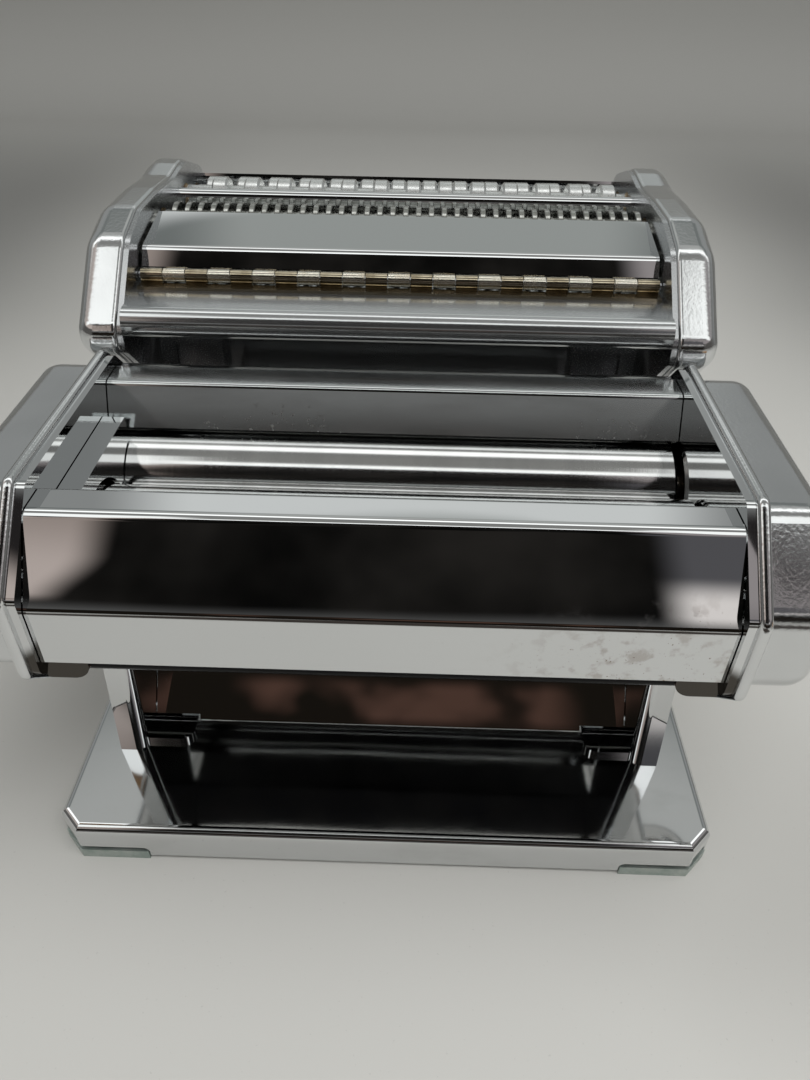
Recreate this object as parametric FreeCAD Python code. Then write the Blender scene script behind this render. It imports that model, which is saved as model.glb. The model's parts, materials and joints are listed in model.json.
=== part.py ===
import FreeCAD, Part
import math
import os

# Hand-cranked pasta machine with a lift-off double cutter, in millimetres.
# X runs along the rollers, Y points to the back and Z is up from the table.
# The origin is on the table, under the middle of the roller head.

V = FreeCAD.Vector
ALONG_X = V(1, 0, 0)

# Dough rollers
roller_length = 150.0
roller_diameter = 27.0
roller_gap = 1.2
roller_height = 98.0
drive_roller_y = 17.0
roller_end_gap = 1.0
roller_chamfer = 0.8
shaft_proud = 1.0
over = 1.0
journal_radius = 6.0
running_clearance = 0.06
fit_gap = 0.05
end_play = 0.2

# Roller head: side plates, covers and hopper
plate_thickness = 2.0
sheet = 1.0
sheet_bend = 1.6
cover_bend = 3.0
head_rise = 25.5
head_half_depth = 47.6
head_chamfer_depth = 12.4
head_chamfer_height = 17.6
head_facet_height = 15.1
front_lip = 9.5
lip_return = 4.5
dough_plate_top_y = 21.5
dough_plate_rise = 11.0
dough_plate_lean = 4.8
dough_plate_flange = 9.0
guide_width = 5.6
guide_drop = 5.5
guide_sheet = 1.2
guide_clearance = 0.6
guide_front_gap = 1.5
guide_rear_gap = 2.5
tab_width = 10.0
tab_drop = 6.0
tab_thickness = 1.5
tab_round = 4.0

# Pressed end covers
rim_top_proud = 5.5
rim_side_proud = 2.9
rim_top_half = 31.5
rim_chamfer_height = 18.5
rim_side_height = 22.5
rim_bottom_chamfer = 17.0
rim_bottom_half = 34.0
rim_corner = 4.0
rim_thickness = 2.8
rim_edge_round = 1.3
cover_depth = 19.0
cover_sheet = 1.5
dome_inset = 3.6
dome_corner_round = 7.0
dome_edge_round = 6.5
plate_inset = 1.4
hole_clearance = 0.6

# Pedestal and base
base_reach = 17.5
base_front = -41.0
base_rear = 69.0
base_corner = 6.3
base_sheet = 1.2
skirt_height = 12.0
skirt_round = 2.6
foot_drop = 1.5
foot_length = 26.5
foot_width = 5.2
foot_gap = 2.0
foot_proud = 0.25
foot_pad = 3.6
notch_height = 3.5
notch_round = 2.0
notch_gap = 0.3
facet_notch_width = 6.4
facet_notch_depth = 8.0
facet_notch_height = 6.0
leg_front_foot = -12.5
leg_front_top = -6.0
leg_rear_foot = 26.0
leg_rear_top = 20.0
leg_flange = 6.0
leg_bend = 3.2
foot_flange = 14.0
foot_flange_round = 4.0
chute_top_y = 18.8
chute_top_rise = 42.0
chute_bend_y = 17.0
chute_bend_rise = 24.7
chute_lip_y = -0.5
chute_lip_rise = 1.0
chute_bend = 6.0
chute_foot_gap = 0.4

# Roller gears
gear_teeth = 12
gear_width = 6.0
gear_addendum = 2.2
gear_dedendum = 2.7
gear_backlash = 0.35
pressure_angle = math.radians(25.0)
gear_clear = 0.7

# Thickness adjuster
adjuster_reach = 19.8
adjuster_radius = 4.0
adjuster_travel = 1.0
eccentric_radius = 6.0
eccentric_offset = 1.3
yoke_clearance = 0.12
carrier_thickness = 5.0
carrier_wall = 5.0
carrier_step = 2.0
carrier_corner = 4.0
yoke_corner = 2.0
bush_flange = 2.0
bush_flange_thickness = 1.5
window_clearance = 0.15
dial_radius = 16.0
dial_thickness = 1.3
knob_radius = 11.0
knob_length = 23.0
knob_neck = 7.0
knob_foot_share = 0.86
knob_waist_share = 0.78
knob_shoulder_share = 0.82
knob_end_share = 0.5
knob_waist_place = 0.35
knob_crown_place = 0.72
knob_shoulder_place = 0.93

# Tie rods, scrapers and fasteners
tie_rod_radius = 3.0
tie_rod_spigot = 2.4
tie_rod_y = 28.5
tie_rod_drop = 17.5
leg_rod_y = 17.0
leg_rod_rise = 11.5
nut_flats = 8.0
nut_height = 3.5
thread_proud = 1.0
scraper_sheet = 0.8
scraper_reach = 0.35
scraper_tip_angle = math.radians(40.0)
scraper_rod_gap = 0.8
scraper_knee = 3.0
scraper_edge_y = 36.0
scraper_heel = 6.0
screw_radius = 2.0
screw_head_radius = 3.4
screw_head_height = 1.7
screw_slot_width = 0.9
screw_slot_depth = 0.8
screw_grip = 4.0
cover_screw_y = 36.0
cover_screw_spread = 9.0
leg_screw_front_inset = 20.0
leg_screw_rear_inset = 6.3
leg_screw_reach = 8.0

# Crank
crank_radius = 4.0
crank_arm_length = 80.0
crank_bend = 9.0
crank_socket_depth = 18.0
crank_stand_off = 14.0
shaft_stub = 3.5
grip_length = 60.0
grip_radius = 12.0
grip_clearance = 0.3
grip_washer = 2.0
grip_washer_proud = 2.0
grip_belly_place = 0.58
grip_near_share = 0.62
grip_far_share = 0.7
grip_end_round = 1.5

# Double cutter: cutting rollers (Y and Z from the back of the head and from its top)
narrow_strip = 2.0
wide_strip = 5.5
cutting_margin = 1.0
disc_side_gap = 0.15
disc_edge_share = 0.12
narrow_disc_radius = 8.0
narrow_core_radius = 5.4
wide_disc_radius = 8.3
wide_core_radius = 5.5
narrow_drive_y = 32.4
narrow_drive_z = 13.0
narrow_partner_dy = 13.5
narrow_partner_dz = 5.2
wide_drive_y = 89.9
wide_drive_z = 14.1
wide_partner_dy = -14.0
wide_partner_dz = 3.6
cutter_shaft_radius = 4.0
cutter_bush_wall = 2.0
cutter_bush_length = 2.0
pinion_teeth = 12
pinion_width = 3.5
pinion_addendum = 1.0
pinion_dedendum = 1.25
pinion_backlash = 0.25
pinion_clear = 0.4
socket_depth = 6.2
socket_wall = 1.9

# Double cutter: casing, combs and flap (measured from the same edge)
bearing_plate = 1.5
cheek_depth = 12.0
cheek_sheet = 1.5
cheek_round = 5.5
cheek_lip_round = 1.2
cheek_front_y = -9.1
cheek_front_bottom = 1.0
cheek_front_height = 6.5
cheek_shoulder_y = 11.4
cheek_shoulder_z = 26.0
cheek_top_front_y = 26.4
cheek_top_rear_y = 46.4
cheek_top = 30.2
cheek_dip_y = 64.4
cheek_dip_z = 29.2
cheek_hump_front_y = 75.4
cheek_hump_rear_y = 82.4
cheek_hump_z = 30.2
cheek_rear_y = 104.4
cheek_rear_top = 23.0
cheek_rear_bottom = -2.5
cheek_heel_y = 10.4
cheek_heel_z = -17.5
cheek_nose_round = 6.0
cheek_brow_round = 6.0
cheek_shoulder_round = 12.0
cheek_crown_round = 14.0
cheek_dip_round = 14.0
cheek_hump_round = 12.0
cheek_rear_round = 11.0
cheek_heel_round = 6.5
bearing_plate_inset = 0.8
front_plate_top = 12.6
front_plate_front = -8.4
front_plate_rear = 18.4
front_bead = 8.5
hook_plate_y = 5.9
hook_plate_bottom = -15.5
hook_bend = 1.8
rear_plate_y = 102.4
rear_plate_top = 19.5
rear_plate_bottom = 2.0
rear_plate_lean = 2.4
rear_plate_rise = 1.6
middle_guide_y = 63.9
middle_guide_top = 24.7
middle_guide_bottom = 13.0
middle_guide_lean = 0.8
middle_guide_lip = 4.2
middle_guide_fall = 1.3
cutter_rod_radius = 2.5
cutter_rod_front_y = 22.4
cutter_rod_rear_y = 92.4
cutter_rod_z = 0.5
comb_sheet = 1.0
comb_core_gap = 0.6
comb_bar_near = 6.2
comb_bar_far = 10.2
comb_tip = 1.0
comb_side_gap = 0.25
hinge_y = 13.9
hinge_lift = 0.35
knuckle_radius = 1.9
knuckle_count = 23
knuckle_gap = 0.15
hinge_pin_radius = 1.0
hinge_leaf = 0.8
hinge_leaf_length = 3.5
hinge_web_lap = 0.5
flap_end_gap = 0.8
flap_start_y = 1.7
flap_start_z = 1.8
flap_bend_y = 5.0
flap_bend_z = 6.6
flap_rear_y = 25.5
flap_rear_z = 10.4
flap_bend = 2.5

# Cutter hangers (measured from the same edge)
hanger_inset = 16.0
hanger_width = 15.0
hanger_sheet = 1.5
hanger_foot_bottom = -31.0
hanger_foot_top = -23.0
hanger_step_top = -19.5
hanger_step = 2.7
hanger_top = -0.5
hanger_bend = 2.2
channel_wall = 1.2
channel_clearance = 0.35
channel_lip = 3.0
channel_top = 1.5
seat_gap = 0.1

# Places that follow from the sizes above
roller_radius = roller_diameter / 2
head_top = roller_height + head_rise
guide_top = head_top - guide_drop
tie_rod_z = roller_height - tie_rod_drop
adjust_roller_y = drive_roller_y - roller_diameter - roller_gap
adjuster_y = adjust_roller_y - adjuster_reach
wall = roller_length / 2 + roller_end_gap
outer_wall = wall + plate_thickness
base_half_width = outer_wall + base_reach
sheet_end = wall - end_play
rim_top = head_top + rim_top_proud
rim_half_depth = head_half_depth + rim_side_proud
rim_shoulder = rim_top - rim_chamfer_height
rim_waist = rim_shoulder - rim_side_height
rim_bottom = rim_waist - rim_bottom_chamfer
cover_face = outer_wall + cover_depth
facet_top = head_top - head_chamfer_height
facet_bottom = facet_top - head_facet_height
base_top = foot_drop + skirt_height
chute_top_z = base_top + chute_top_rise
chute_bend_z = base_top + chute_bend_rise
chute_lip_z = base_top + chute_lip_rise
leg_rod_z = base_top + leg_rod_rise
leg_top = rim_bottom - end_play
guard_z = tie_rod_z - tie_rod_radius - scraper_rod_gap
notch_top = foot_drop + notch_height
facet_notch_top = foot_drop + facet_notch_height
carrier_start = outer_wall + end_play
carrier_end = carrier_start + carrier_thickness
gear_start = carrier_end + gear_clear
gear_end = gear_start + gear_width
gear_pitch_radius = (roller_diameter + roller_gap - adjuster_travel) / 2
drive_shaft_end = cover_face + shaft_stub
cutter_wall = wall
cutting_width = roller_length - 2 * cutting_margin
hanger_centre = wall - hanger_inset
cutter_place = V(0, head_half_depth, head_top)
cutter_plate_face = cutter_wall + bearing_plate
cheek_face = cutter_plate_face + cheek_depth
pinion_start = cutter_plate_face + cutter_bush_length - bearing_plate + pinion_clear
pinion_end = pinion_start + pinion_width
hinge_z = front_plate_top + knuckle_radius + hinge_lift
narrow_partner_y = narrow_drive_y + narrow_partner_dy
narrow_partner_z = narrow_drive_z + narrow_partner_dz
wide_partner_y = wide_drive_y + wide_partner_dy
wide_partner_z = wide_drive_z + wide_partner_dz


# Shape helpers

def unit(y, z):
    length = math.hypot(y, z)
    return y / length, z / length


def rounded_wire(corners):
    """Closed wire in the YZ plane; a corner is (y, z) or (y, z, radius)."""
    edges = []
    runs = []
    count = len(corners)
    for i in range(count):
        y, z = corners[i][:2]
        radius = corners[i][2] if len(corners[i]) > 2 else 0.0
        before = corners[i - 1]
        after = corners[(i + 1) % count]
        into = unit(y - before[0], z - before[1])
        out = unit(after[0] - y, after[1] - z)
        if radius == 0.0:
            runs.append((V(0, y, z), None, V(0, y, z)))
            continue
        cosine = max(-1.0, min(1.0, into[0] * out[0] + into[1] * out[1]))
        half_turn = math.acos(cosine) / 2
        cut = radius * math.tan(half_turn)
        to_centre = unit(out[0] - into[0], out[1] - into[1])
        sag = radius / math.cos(half_turn) - radius
        start = V(0, y - into[0] * cut, z - into[1] * cut)
        end = V(0, y + out[0] * cut, z + out[1] * cut)
        middle = V(0, y + to_centre[0] * sag, z + to_centre[1] * sag)
        runs.append((start, middle, end))
    for i in range(count):
        start, middle, end = runs[i]
        if middle is not None:
            edges.append(Part.Arc(start, middle, end).toShape())
        edges.append(Part.LineSegment(end, runs[(i + 1) % count][0]).toShape())
    return Part.Wire(edges)


def extruded(wire, x0, x1):
    face = Part.Face(wire)
    face.translate(V(x0, 0, 0))
    return face.extrude(V(x1 - x0, 0, 0))


def slab(corners, x0, x1):
    return extruded(rounded_wire(corners), x0, x1)


def box(x0, x1, y0, y1, z0, z1):
    return Part.makeBox(x1 - x0, y1 - y0, z1 - z0, V(x0, y0, z0))


def rod(y, z, radius, x0, x1):
    return Part.makeCylinder(radius, x1 - x0, V(x0, y, z), ALONG_X)


def turned(profile, y, z):
    """Solid turned about an X axis at (y, z); the profile lists (x, radius)."""
    points = [V(x, y, z + radius) for x, radius in profile]
    first = V(profile[0][0], y, z)
    last = V(profile[-1][0], y, z)
    wire = Part.makePolygon([first] + points + [last, first])
    return Part.Face(wire).revolve(V(0, y, z), ALONG_X, 360)


def sheet_side(points, bends, shift):
    """Edges of a bent line, moved sideways by shift (to the left of its run)."""
    runs = []
    for start, end in zip(points, points[1:]):
        runs.append(unit(end[0] - start[0], end[1] - start[1]))
    normals = [(-run[1], run[0]) for run in runs]
    here = V(0, points[0][0] + normals[0][0] * shift, points[0][1] + normals[0][1] * shift)
    edges = []
    for i in range(1, len(points) - 1):
        into, out = runs[i - 1], runs[i]
        turn = math.atan2(into[0] * out[1] - into[1] * out[0], into[0] * out[0] + into[1] * out[1])
        side = 1.0 if turn > 0 else -1.0
        cut = bends[i - 1] * math.tan(abs(turn) / 2)
        centre_y = points[i][0] - into[0] * cut + normals[i - 1][0] * bends[i - 1] * side
        centre_z = points[i][1] - into[1] * cut + normals[i - 1][1] * bends[i - 1] * side
        reach = (bends[i - 1] - side * shift) * side
        between = unit(normals[i - 1][0] + normals[i][0], normals[i - 1][1] + normals[i][1])
        arc = []
        for normal in (normals[i - 1], between, normals[i]):
            arc.append(V(0, centre_y - normal[0] * reach, centre_z - normal[1] * reach))
        edges.append(Part.LineSegment(here, arc[0]).toShape())
        edges.append(Part.Arc(*arc).toShape())
        here = arc[2]
    end = V(0, points[-1][0] + normals[-1][0] * shift, points[-1][1] + normals[-1][1] * shift)
    edges.append(Part.LineSegment(here, end).toShape())
    return edges


def bent_sheet(points, bends, thickness, x0, x1):
    """Sheet folded along the points; its thickness lies to the left of the line."""
    near = sheet_side(points, bends, 0.0)
    far = sheet_side(points, bends, thickness)
    caps = []
    for i in (0, -1):
        ends = [edges[i].Vertexes[i].Point for edges in (near, far)]
        caps.append(Part.LineSegment(*ends).toShape())
    wire = Part.Wire(Part.__sortEdges__(near + far + caps))
    return extruded(wire, x0, x1)


def edges_at_x(shape, x):
    found = []
    for edge in shape.Edges:
        bounds = edge.BoundBox
        if abs(bounds.XMin - x) < 1e-4 and abs(bounds.XMax - x) < 1e-4:
            found.append(edge)
    return found


def joined(shapes):
    return shapes[0].fuse(shapes[1:]).removeSplitter()


def mirrored(shape):
    return shape.mirror(V(0, 0, 0), ALONG_X)


def pair(shape):
    return Part.makeCompound([mirrored(shape), shape])


def hexagon_nut(y, z, bore, x0):
    circle_radius = nut_flats / math.sqrt(3)
    corners = []
    for i in range(6):
        angle = math.radians(60 * i)
        corners.append((y + circle_radius * math.cos(angle), z + circle_radius * math.sin(angle)))
    nut = slab(corners, x0, x0 + nut_height)
    return nut.cut(rod(y, z, bore, x0 - over, x0 + nut_height + over))


def gear_wire(teeth, pitch_radius, addendum, dedendum, backlash, first_tooth):
    """Outline of an involute gear about the origin of the YZ plane."""
    base_radius = pitch_radius * math.cos(pressure_angle)
    tip_radius = pitch_radius + addendum
    root_radius = pitch_radius - dedendum
    middle_radius = (base_radius + tip_radius) / 2
    thickness = math.pi * pitch_radius / teeth - backlash
    half_at_pitch = thickness / (2 * pitch_radius)
    involute_at_pitch = math.tan(pressure_angle) - pressure_angle

    def half_angle(radius):
        slope = math.acos(min(1.0, base_radius / radius))
        return half_at_pitch + involute_at_pitch - (math.tan(slope) - slope)

    def at(radius, angle):
        return V(0, radius * math.cos(angle), radius * math.sin(angle))

    edges = []
    pitch = 2 * math.pi / teeth
    for i in range(teeth):
        centre = first_tooth + i * pitch
        low = half_angle(base_radius)
        middle = half_angle(middle_radius)
        high = half_angle(tip_radius)
        edges.append(Part.LineSegment(at(root_radius, centre - low), at(base_radius, centre - low)).toShape())
        edges.append(Part.Arc(at(base_radius, centre - low), at(middle_radius, centre - middle),
                              at(tip_radius, centre - high)).toShape())
        edges.append(Part.Arc(at(tip_radius, centre - high), at(tip_radius, centre),
                              at(tip_radius, centre + high)).toShape())
        edges.append(Part.Arc(at(tip_radius, centre + high), at(middle_radius, centre + middle),
                              at(base_radius, centre + low)).toShape())
        edges.append(Part.LineSegment(at(base_radius, centre + low), at(root_radius, centre + low)).toShape())
        edges.append(Part.Arc(at(root_radius, centre + low), at(root_radius, centre + pitch / 2),
                              at(root_radius, centre + pitch - low)).toShape())
    return Part.Wire(edges)


def gear(wire, y, z, bore, x0, x1):
    blank = extruded(wire, x0, x1)
    blank.translate(V(0, y, z))
    return blank.cut(rod(y, z, bore, x0 - over, x1 + over))


# Roller head

def rim_wire(inset, corner_round):
    """Outline of the end covers, drawn inset, with its eight corners rounded."""
    corners = []
    half = [(rim_top_half, rim_top), (rim_half_depth, rim_shoulder),
            (rim_half_depth, rim_waist), (rim_bottom_half, rim_bottom)]
    for y, z in half:
        corners.append((y, z, corner_round + inset))
    for y, z in reversed(half):
        corners.append((-y, z, corner_round + inset))
    wire = rounded_wire(corners)
    if inset:
        wire = wire.makeOffset2D(-inset)
    return wire


def carrier_window():
    half = journal_radius + carrier_wall - carrier_step
    gap = adjuster_travel + window_clearance
    return box(wall - over, outer_wall + over, adjust_roller_y - half - gap, adjust_roller_y + half + gap,
               roller_height - half - window_clearance, roller_height + half + window_clearance)


def tie_rod_places():
    return [(-tie_rod_y, tie_rod_z), (tie_rod_y, tie_rod_z), (leg_rod_y, leg_rod_z)]


def cover_screw_places():
    return [(cover_screw_y, roller_height + side * cover_screw_spread) for side in (1, -1)]


def leg_screw_places():
    x = wall - leg_screw_reach
    return [(x, leg_front_foot + leg_screw_front_inset), (x, leg_rear_foot - leg_screw_rear_inset)]


def leg_flange_strip(foot_y, top_y, thickness):
    """Strip turned outward along a sloping edge of the leg."""
    corners = [(foot_y, base_top), (foot_y + thickness, base_top),
               (top_y + thickness, leg_top), (top_y, leg_top)]
    return slab(corners, outer_wall, outer_wall + leg_flange)


def leg():
    """Leg below the head, with both edges turned outward over a rounded bend."""
    web = slab([(leg_front_foot, base_top), (leg_rear_foot, base_top),
                (leg_rear_top, leg_top), (leg_front_top, leg_top)], wall, outer_wall)
    folded = joined([web,
                     leg_flange_strip(leg_front_foot, leg_front_top, plate_thickness),
                     leg_flange_strip(leg_rear_foot, leg_rear_top, -plate_thickness)])
    sloping = [edge for edge in edges_at_x(folded, wall)
               if edge.BoundBox.ZLength > over and edge.BoundBox.YLength > over]
    return folded.makeFillet(leg_bend, sloping)


def leg_foot():
    """Flange turned inward at the foot of the leg, screwed to the base."""
    inner = wall - foot_flange
    foot = box(inner, outer_wall, leg_front_foot + leg_bend, leg_rear_foot - leg_bend,
               base_top, base_top + plate_thickness)
    corners = [edge for edge in edges_at_x(foot, inner) if edge.BoundBox.ZLength > over]
    return foot.makeFillet(foot_flange_round, corners)


def cover_tab():
    """Flange behind the end of the front cover, seen below its edge."""
    back = -head_half_depth + sheet + tab_thickness
    front = -head_half_depth + sheet
    low = facet_bottom - tab_drop
    tab = box(wall - tab_width, wall, front, back, low, facet_top - 2 * sheet_bend)
    corner = Part.makeBox(tab_round, tab_thickness, tab_round, V(wall - tab_width, front, low))
    disc = Part.makeCylinder(tab_round, tab_thickness,
                             V(wall - tab_width + tab_round, front, low + tab_round), V(0, 1, 0))
    return tab.cut(corner).fuse(disc)


def side_plate():
    head = extruded(rim_wire(plate_inset, rim_corner - plate_inset), wall, outer_wall)
    neck = box(wall, outer_wall, leg_front_top, leg_rear_top, leg_top, rim_waist)
    front_tab = cover_tab()
    rear_tab = front_tab.mirror(V(0, 0, 0), V(0, 1, 0))
    plate = joined([head, neck, leg(), leg_foot(), front_tab, rear_tab])
    holes = [carrier_window(),
             rod(drive_roller_y, roller_height, bush_radius() + fit_gap, wall - over, outer_wall + over),
             rod(adjuster_y, roller_height, adjuster_radius + running_clearance,
                 wall - over, outer_wall + over)]
    for y, z in tie_rod_places():
        holes.append(rod(y, z, tie_rod_spigot + fit_gap, wall - over, outer_wall + over))
    for y, z in cover_screw_places():
        holes.append(rod(y, z, screw_radius + fit_gap, wall - over, outer_wall + over))
    for x, y in leg_screw_places():
        holes.append(Part.makeCylinder(screw_radius + fit_gap, plate_thickness + 2 * over,
                                      V(x, y, base_top - over)))
    return plate.cut(holes)


def bush_radius():
    return journal_radius + carrier_wall - carrier_step


def drive_bush():
    barrel = rod(drive_roller_y, roller_height, bush_radius(), wall, carrier_end)
    flange = rod(drive_roller_y, roller_height, bush_radius() + bush_flange,
                 outer_wall, outer_wall + bush_flange_thickness)
    bore = rod(drive_roller_y, roller_height, journal_radius + running_clearance,
               wall - over, carrier_end + over)
    return joined([barrel, flange]).cut(bore)


def front_cover():
    points = [(-head_half_depth + head_chamfer_depth + front_lip, head_top - lip_return),
              (-head_half_depth + head_chamfer_depth + front_lip, head_top),
              (-head_half_depth + head_chamfer_depth, head_top),
              (-head_half_depth, facet_top),
              (-head_half_depth, facet_bottom)]
    return bent_sheet(points, [sheet_bend, cover_bend, cover_bend], sheet, -sheet_end, sheet_end)


def rear_cover():
    points = [(head_half_depth, facet_bottom),
              (head_half_depth, facet_top),
              (head_half_depth - head_chamfer_depth, head_top),
              (dough_plate_top_y + 2 * sheet_bend, head_top)]
    return bent_sheet(points, [cover_bend] * 2, sheet, -sheet_end, sheet_end)


def dough_plate():
    points = [(dough_plate_top_y + dough_plate_flange, head_top + sheet),
              (dough_plate_top_y, head_top + sheet),
              (dough_plate_top_y - dough_plate_lean, head_top + sheet - dough_plate_rise)]
    return bent_sheet(points, [sheet_bend], sheet, -sheet_end, sheet_end)


def dough_edge_guide():
    """Angle along the left wall that closes the end of the roller nip."""
    inner = -sheet_end + guide_width
    front = -head_half_depth + head_chamfer_depth + front_lip + guide_front_gap
    rear = dough_plate_top_y - dough_plate_lean - guide_rear_gap
    web = box(inner - guide_sheet, inner, front, rear, roller_height, guide_top)
    clear = roller_radius + guide_clearance
    rolls = [rod(drive_roller_y, roller_height, clear, inner - guide_width, inner + over),
             rod(adjust_roller_y, roller_height, clear + adjuster_travel, inner - guide_width, inner + over)]
    below = box(inner - guide_width, inner + over, front - over, rear + over, roller_height - over,
                roller_height + roller_radius / 2)
    web = web.cut(rolls + [below])
    flange = box(-sheet_end, inner, front, rear, guide_top - guide_sheet, guide_top)
    return joined([web, flange])


def end_cover(holes):
    rim = extruded(rim_wire(0, rim_corner), outer_wall, outer_wall + rim_thickness)
    rim_edges = edges_at_x(rim, outer_wall) + edges_at_x(rim, outer_wall + rim_thickness)
    rim = rim.makeFillet(rim_edge_round, rim_edges)
    dome = extruded(rim_wire(dome_inset, dome_corner_round), outer_wall, cover_face)
    dome = dome.makeFillet(dome_edge_round, edges_at_x(dome, cover_face))
    cavity = extruded(rim_wire(dome_inset + cover_sheet, dome_corner_round - cover_sheet),
                      outer_wall, cover_face - cover_sheet)
    cavity = cavity.makeFillet(dome_edge_round - cover_sheet, edges_at_x(cavity, cover_face - cover_sheet))
    for y, z in cover_screw_places():
        holes = holes + [(y, z, screw_radius + fit_gap)]
    drills = [rod(y, z, radius, outer_wall, cover_face + over) for y, z, radius in holes]
    return rim.fuse(dome).removeSplitter().cut([cavity] + drills)


def dough_chute():
    """Sheet the dough slides down, notched over the foot flanges of the legs."""
    points = [(chute_lip_y, chute_lip_z), (chute_bend_y, chute_bend_z), (chute_top_y, chute_top_z)]
    chute = bent_sheet(points, [chute_bend], -sheet, -sheet_end, sheet_end)
    notch = box(wall - foot_flange - chute_foot_gap, wall, chute_lip_y - over, chute_bend_y,
                base_top, base_top + plate_thickness + chute_foot_gap)
    return chute.cut([mirrored(notch), notch])


def tie_rods():
    rods = []
    for y, z in tie_rod_places():
        reach = outer_wall + nut_height + thread_proud
        rods.append(turned([(-reach, tie_rod_spigot), (-wall, tie_rod_spigot), (-wall, tie_rod_radius),
                            (wall, tie_rod_radius), (wall, tie_rod_spigot), (reach, tie_rod_spigot)], y, z))
    return Part.makeCompound(rods)


def tie_rod_nuts():
    nuts = []
    for y, z in tie_rod_places():
        nut = hexagon_nut(y, z, tie_rod_spigot + fit_gap, outer_wall)
        nuts += [mirrored(nut), nut]
    return Part.makeCompound(nuts)


def scraper(axis_y, clear, side):
    """Guard under a roller that rises to a blade beside the nip; side is -1 in front, 1 behind."""
    reach = roller_radius + clear
    tip = (axis_y - side * reach * math.sin(scraper_tip_angle),
           roller_height - reach * math.cos(scraper_tip_angle))
    knee = (axis_y + side * scraper_knee, guard_z)
    edge = (side * scraper_edge_y, guard_z)
    heel = (edge[0], guard_z + scraper_heel)
    return bent_sheet([heel, edge, knee, tip], [sheet_bend] * 2, side * scraper_sheet, -wall, wall)


def end_cover_screws():
    screws = []
    for y, z in cover_screw_places():
        head = rod(y, z, screw_head_radius, cover_face, cover_face + screw_head_height)
        head = head.makeFillet(screw_head_height / 2, edges_at_x(head, cover_face + screw_head_height))
        shank = rod(y, z, screw_radius, wall, cover_face)
        top = cover_face + screw_head_height
        slot = box(top - screw_slot_depth, top + over, y - screw_head_radius, y + screw_head_radius,
                   z - screw_slot_width / 2, z + screw_slot_width / 2)
        screw = joined([head, shank]).cut(slot)
        screws += [mirrored(screw), screw]
    return Part.makeCompound(screws)


def leg_screws():
    screws = []
    top = base_top + plate_thickness
    for x, y in leg_screw_places():
        head = Part.makeCylinder(screw_head_radius, screw_head_height, V(x, y, top))
        shank = Part.makeCylinder(screw_radius, plate_thickness + base_sheet + screw_grip,
                                  V(x, y, base_top - base_sheet - screw_grip))
        slot = box(x - screw_head_radius, x + screw_head_radius, y - screw_slot_width / 2,
                   y + screw_slot_width / 2, top + screw_head_height - screw_slot_depth,
                   top + screw_head_height + over)
        screw = joined([head, shank]).cut(slot)
        screws += [mirrored(screw), screw]
    return Part.makeCompound(screws)


# Base

def base_outline(inset, corner):
    """Corners of the base in X and Y, with every corner cut at 45 degrees."""
    x = base_half_width - inset
    front = base_front + inset
    rear = base_rear - inset
    return [V(-x + corner, front, 0), V(x - corner, front, 0),
            V(x, front + corner, 0), V(x, rear - corner, 0),
            V(x - corner, rear, 0), V(-x + corner, rear, 0),
            V(-x, rear - corner, 0), V(-x, front + corner, 0)]


def base_block(inset, z0, z1):
    corner = base_corner - inset * (2 - math.sqrt(2))
    corners = base_outline(inset, corner)
    face = Part.Face(Part.makePolygon(corners + corners[:1]))
    face.translate(V(0, 0, z0))
    return face.extrude(V(0, 0, z1 - z0))


def corner_boxes(z0, z1, trim):
    """A box over each corner of the base, as long as a foot."""
    reach = foot_length - trim
    boxes = []
    for side in (-1, 1):
        for y, inward in ((base_front, 1), (base_rear, -1)):
            x0, x1 = sorted([side * (base_half_width + over), side * (base_half_width - reach)])
            y0, y1 = sorted([y - inward * over, y + inward * reach])
            boxes.append(box(x0, x1, y0, y1, z0, z1))
    return boxes


def facet_notches(z0, z1):
    """Upright blocks across the four cut corners."""
    half = facet_notch_width / 2
    inset = base_corner / 2
    blocks = []
    for side in (-1, 1):
        for y, inward in ((base_front, 1), (base_rear, -1)):
            block = box(-half, half, -facet_notch_depth, facet_notch_depth, z0, z1)
            block.rotate(V(0, 0, 0), V(0, 0, 1), 45 * side * inward)
            block.translate(V(side * (base_half_width - inset), y + inward * inset, 0))
            blocks.append(block)
    return blocks


def skirt_notches():
    """Openings in the skirt that the feet fill, with rounded inner corners."""
    notches = []
    for notch in corner_boxes(foot_drop - over, notch_top, 0):
        inner = []
        for edge in notch.Edges:
            middle = edge.CenterOfMass
            at_top = abs(middle.z - notch_top) < 1e-4
            inside = abs(middle.x) < base_half_width - foot_length + 1e-4
            between = base_front + foot_length - 1e-4 < middle.y < base_rear - foot_length + 1e-4
            if at_top and (inside or between):
                inner.append(edge)
        notches.append(notch.makeFillet(notch_round, inner))
    return notches


def base_plate():
    tray = base_block(0, foot_drop, base_top)
    top_edges = [edge for edge in tray.Edges if abs(edge.BoundBox.ZMin - base_top) < 1e-4]
    tray = tray.makeFillet(skirt_round, top_edges)
    hollow = base_block(base_sheet, foot_drop - over, base_top - base_sheet)
    holes = []
    for x, y in leg_screw_places():
        for side in (-1, 1):
            holes.append(Part.makeCylinder(screw_radius + fit_gap, base_sheet + 2 * over,
                                           V(side * x, y, base_top - base_sheet - over)))
    return tray.cut([hollow] + holes + skirt_notches() + facet_notches(foot_drop - over, facet_notch_top))


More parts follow.
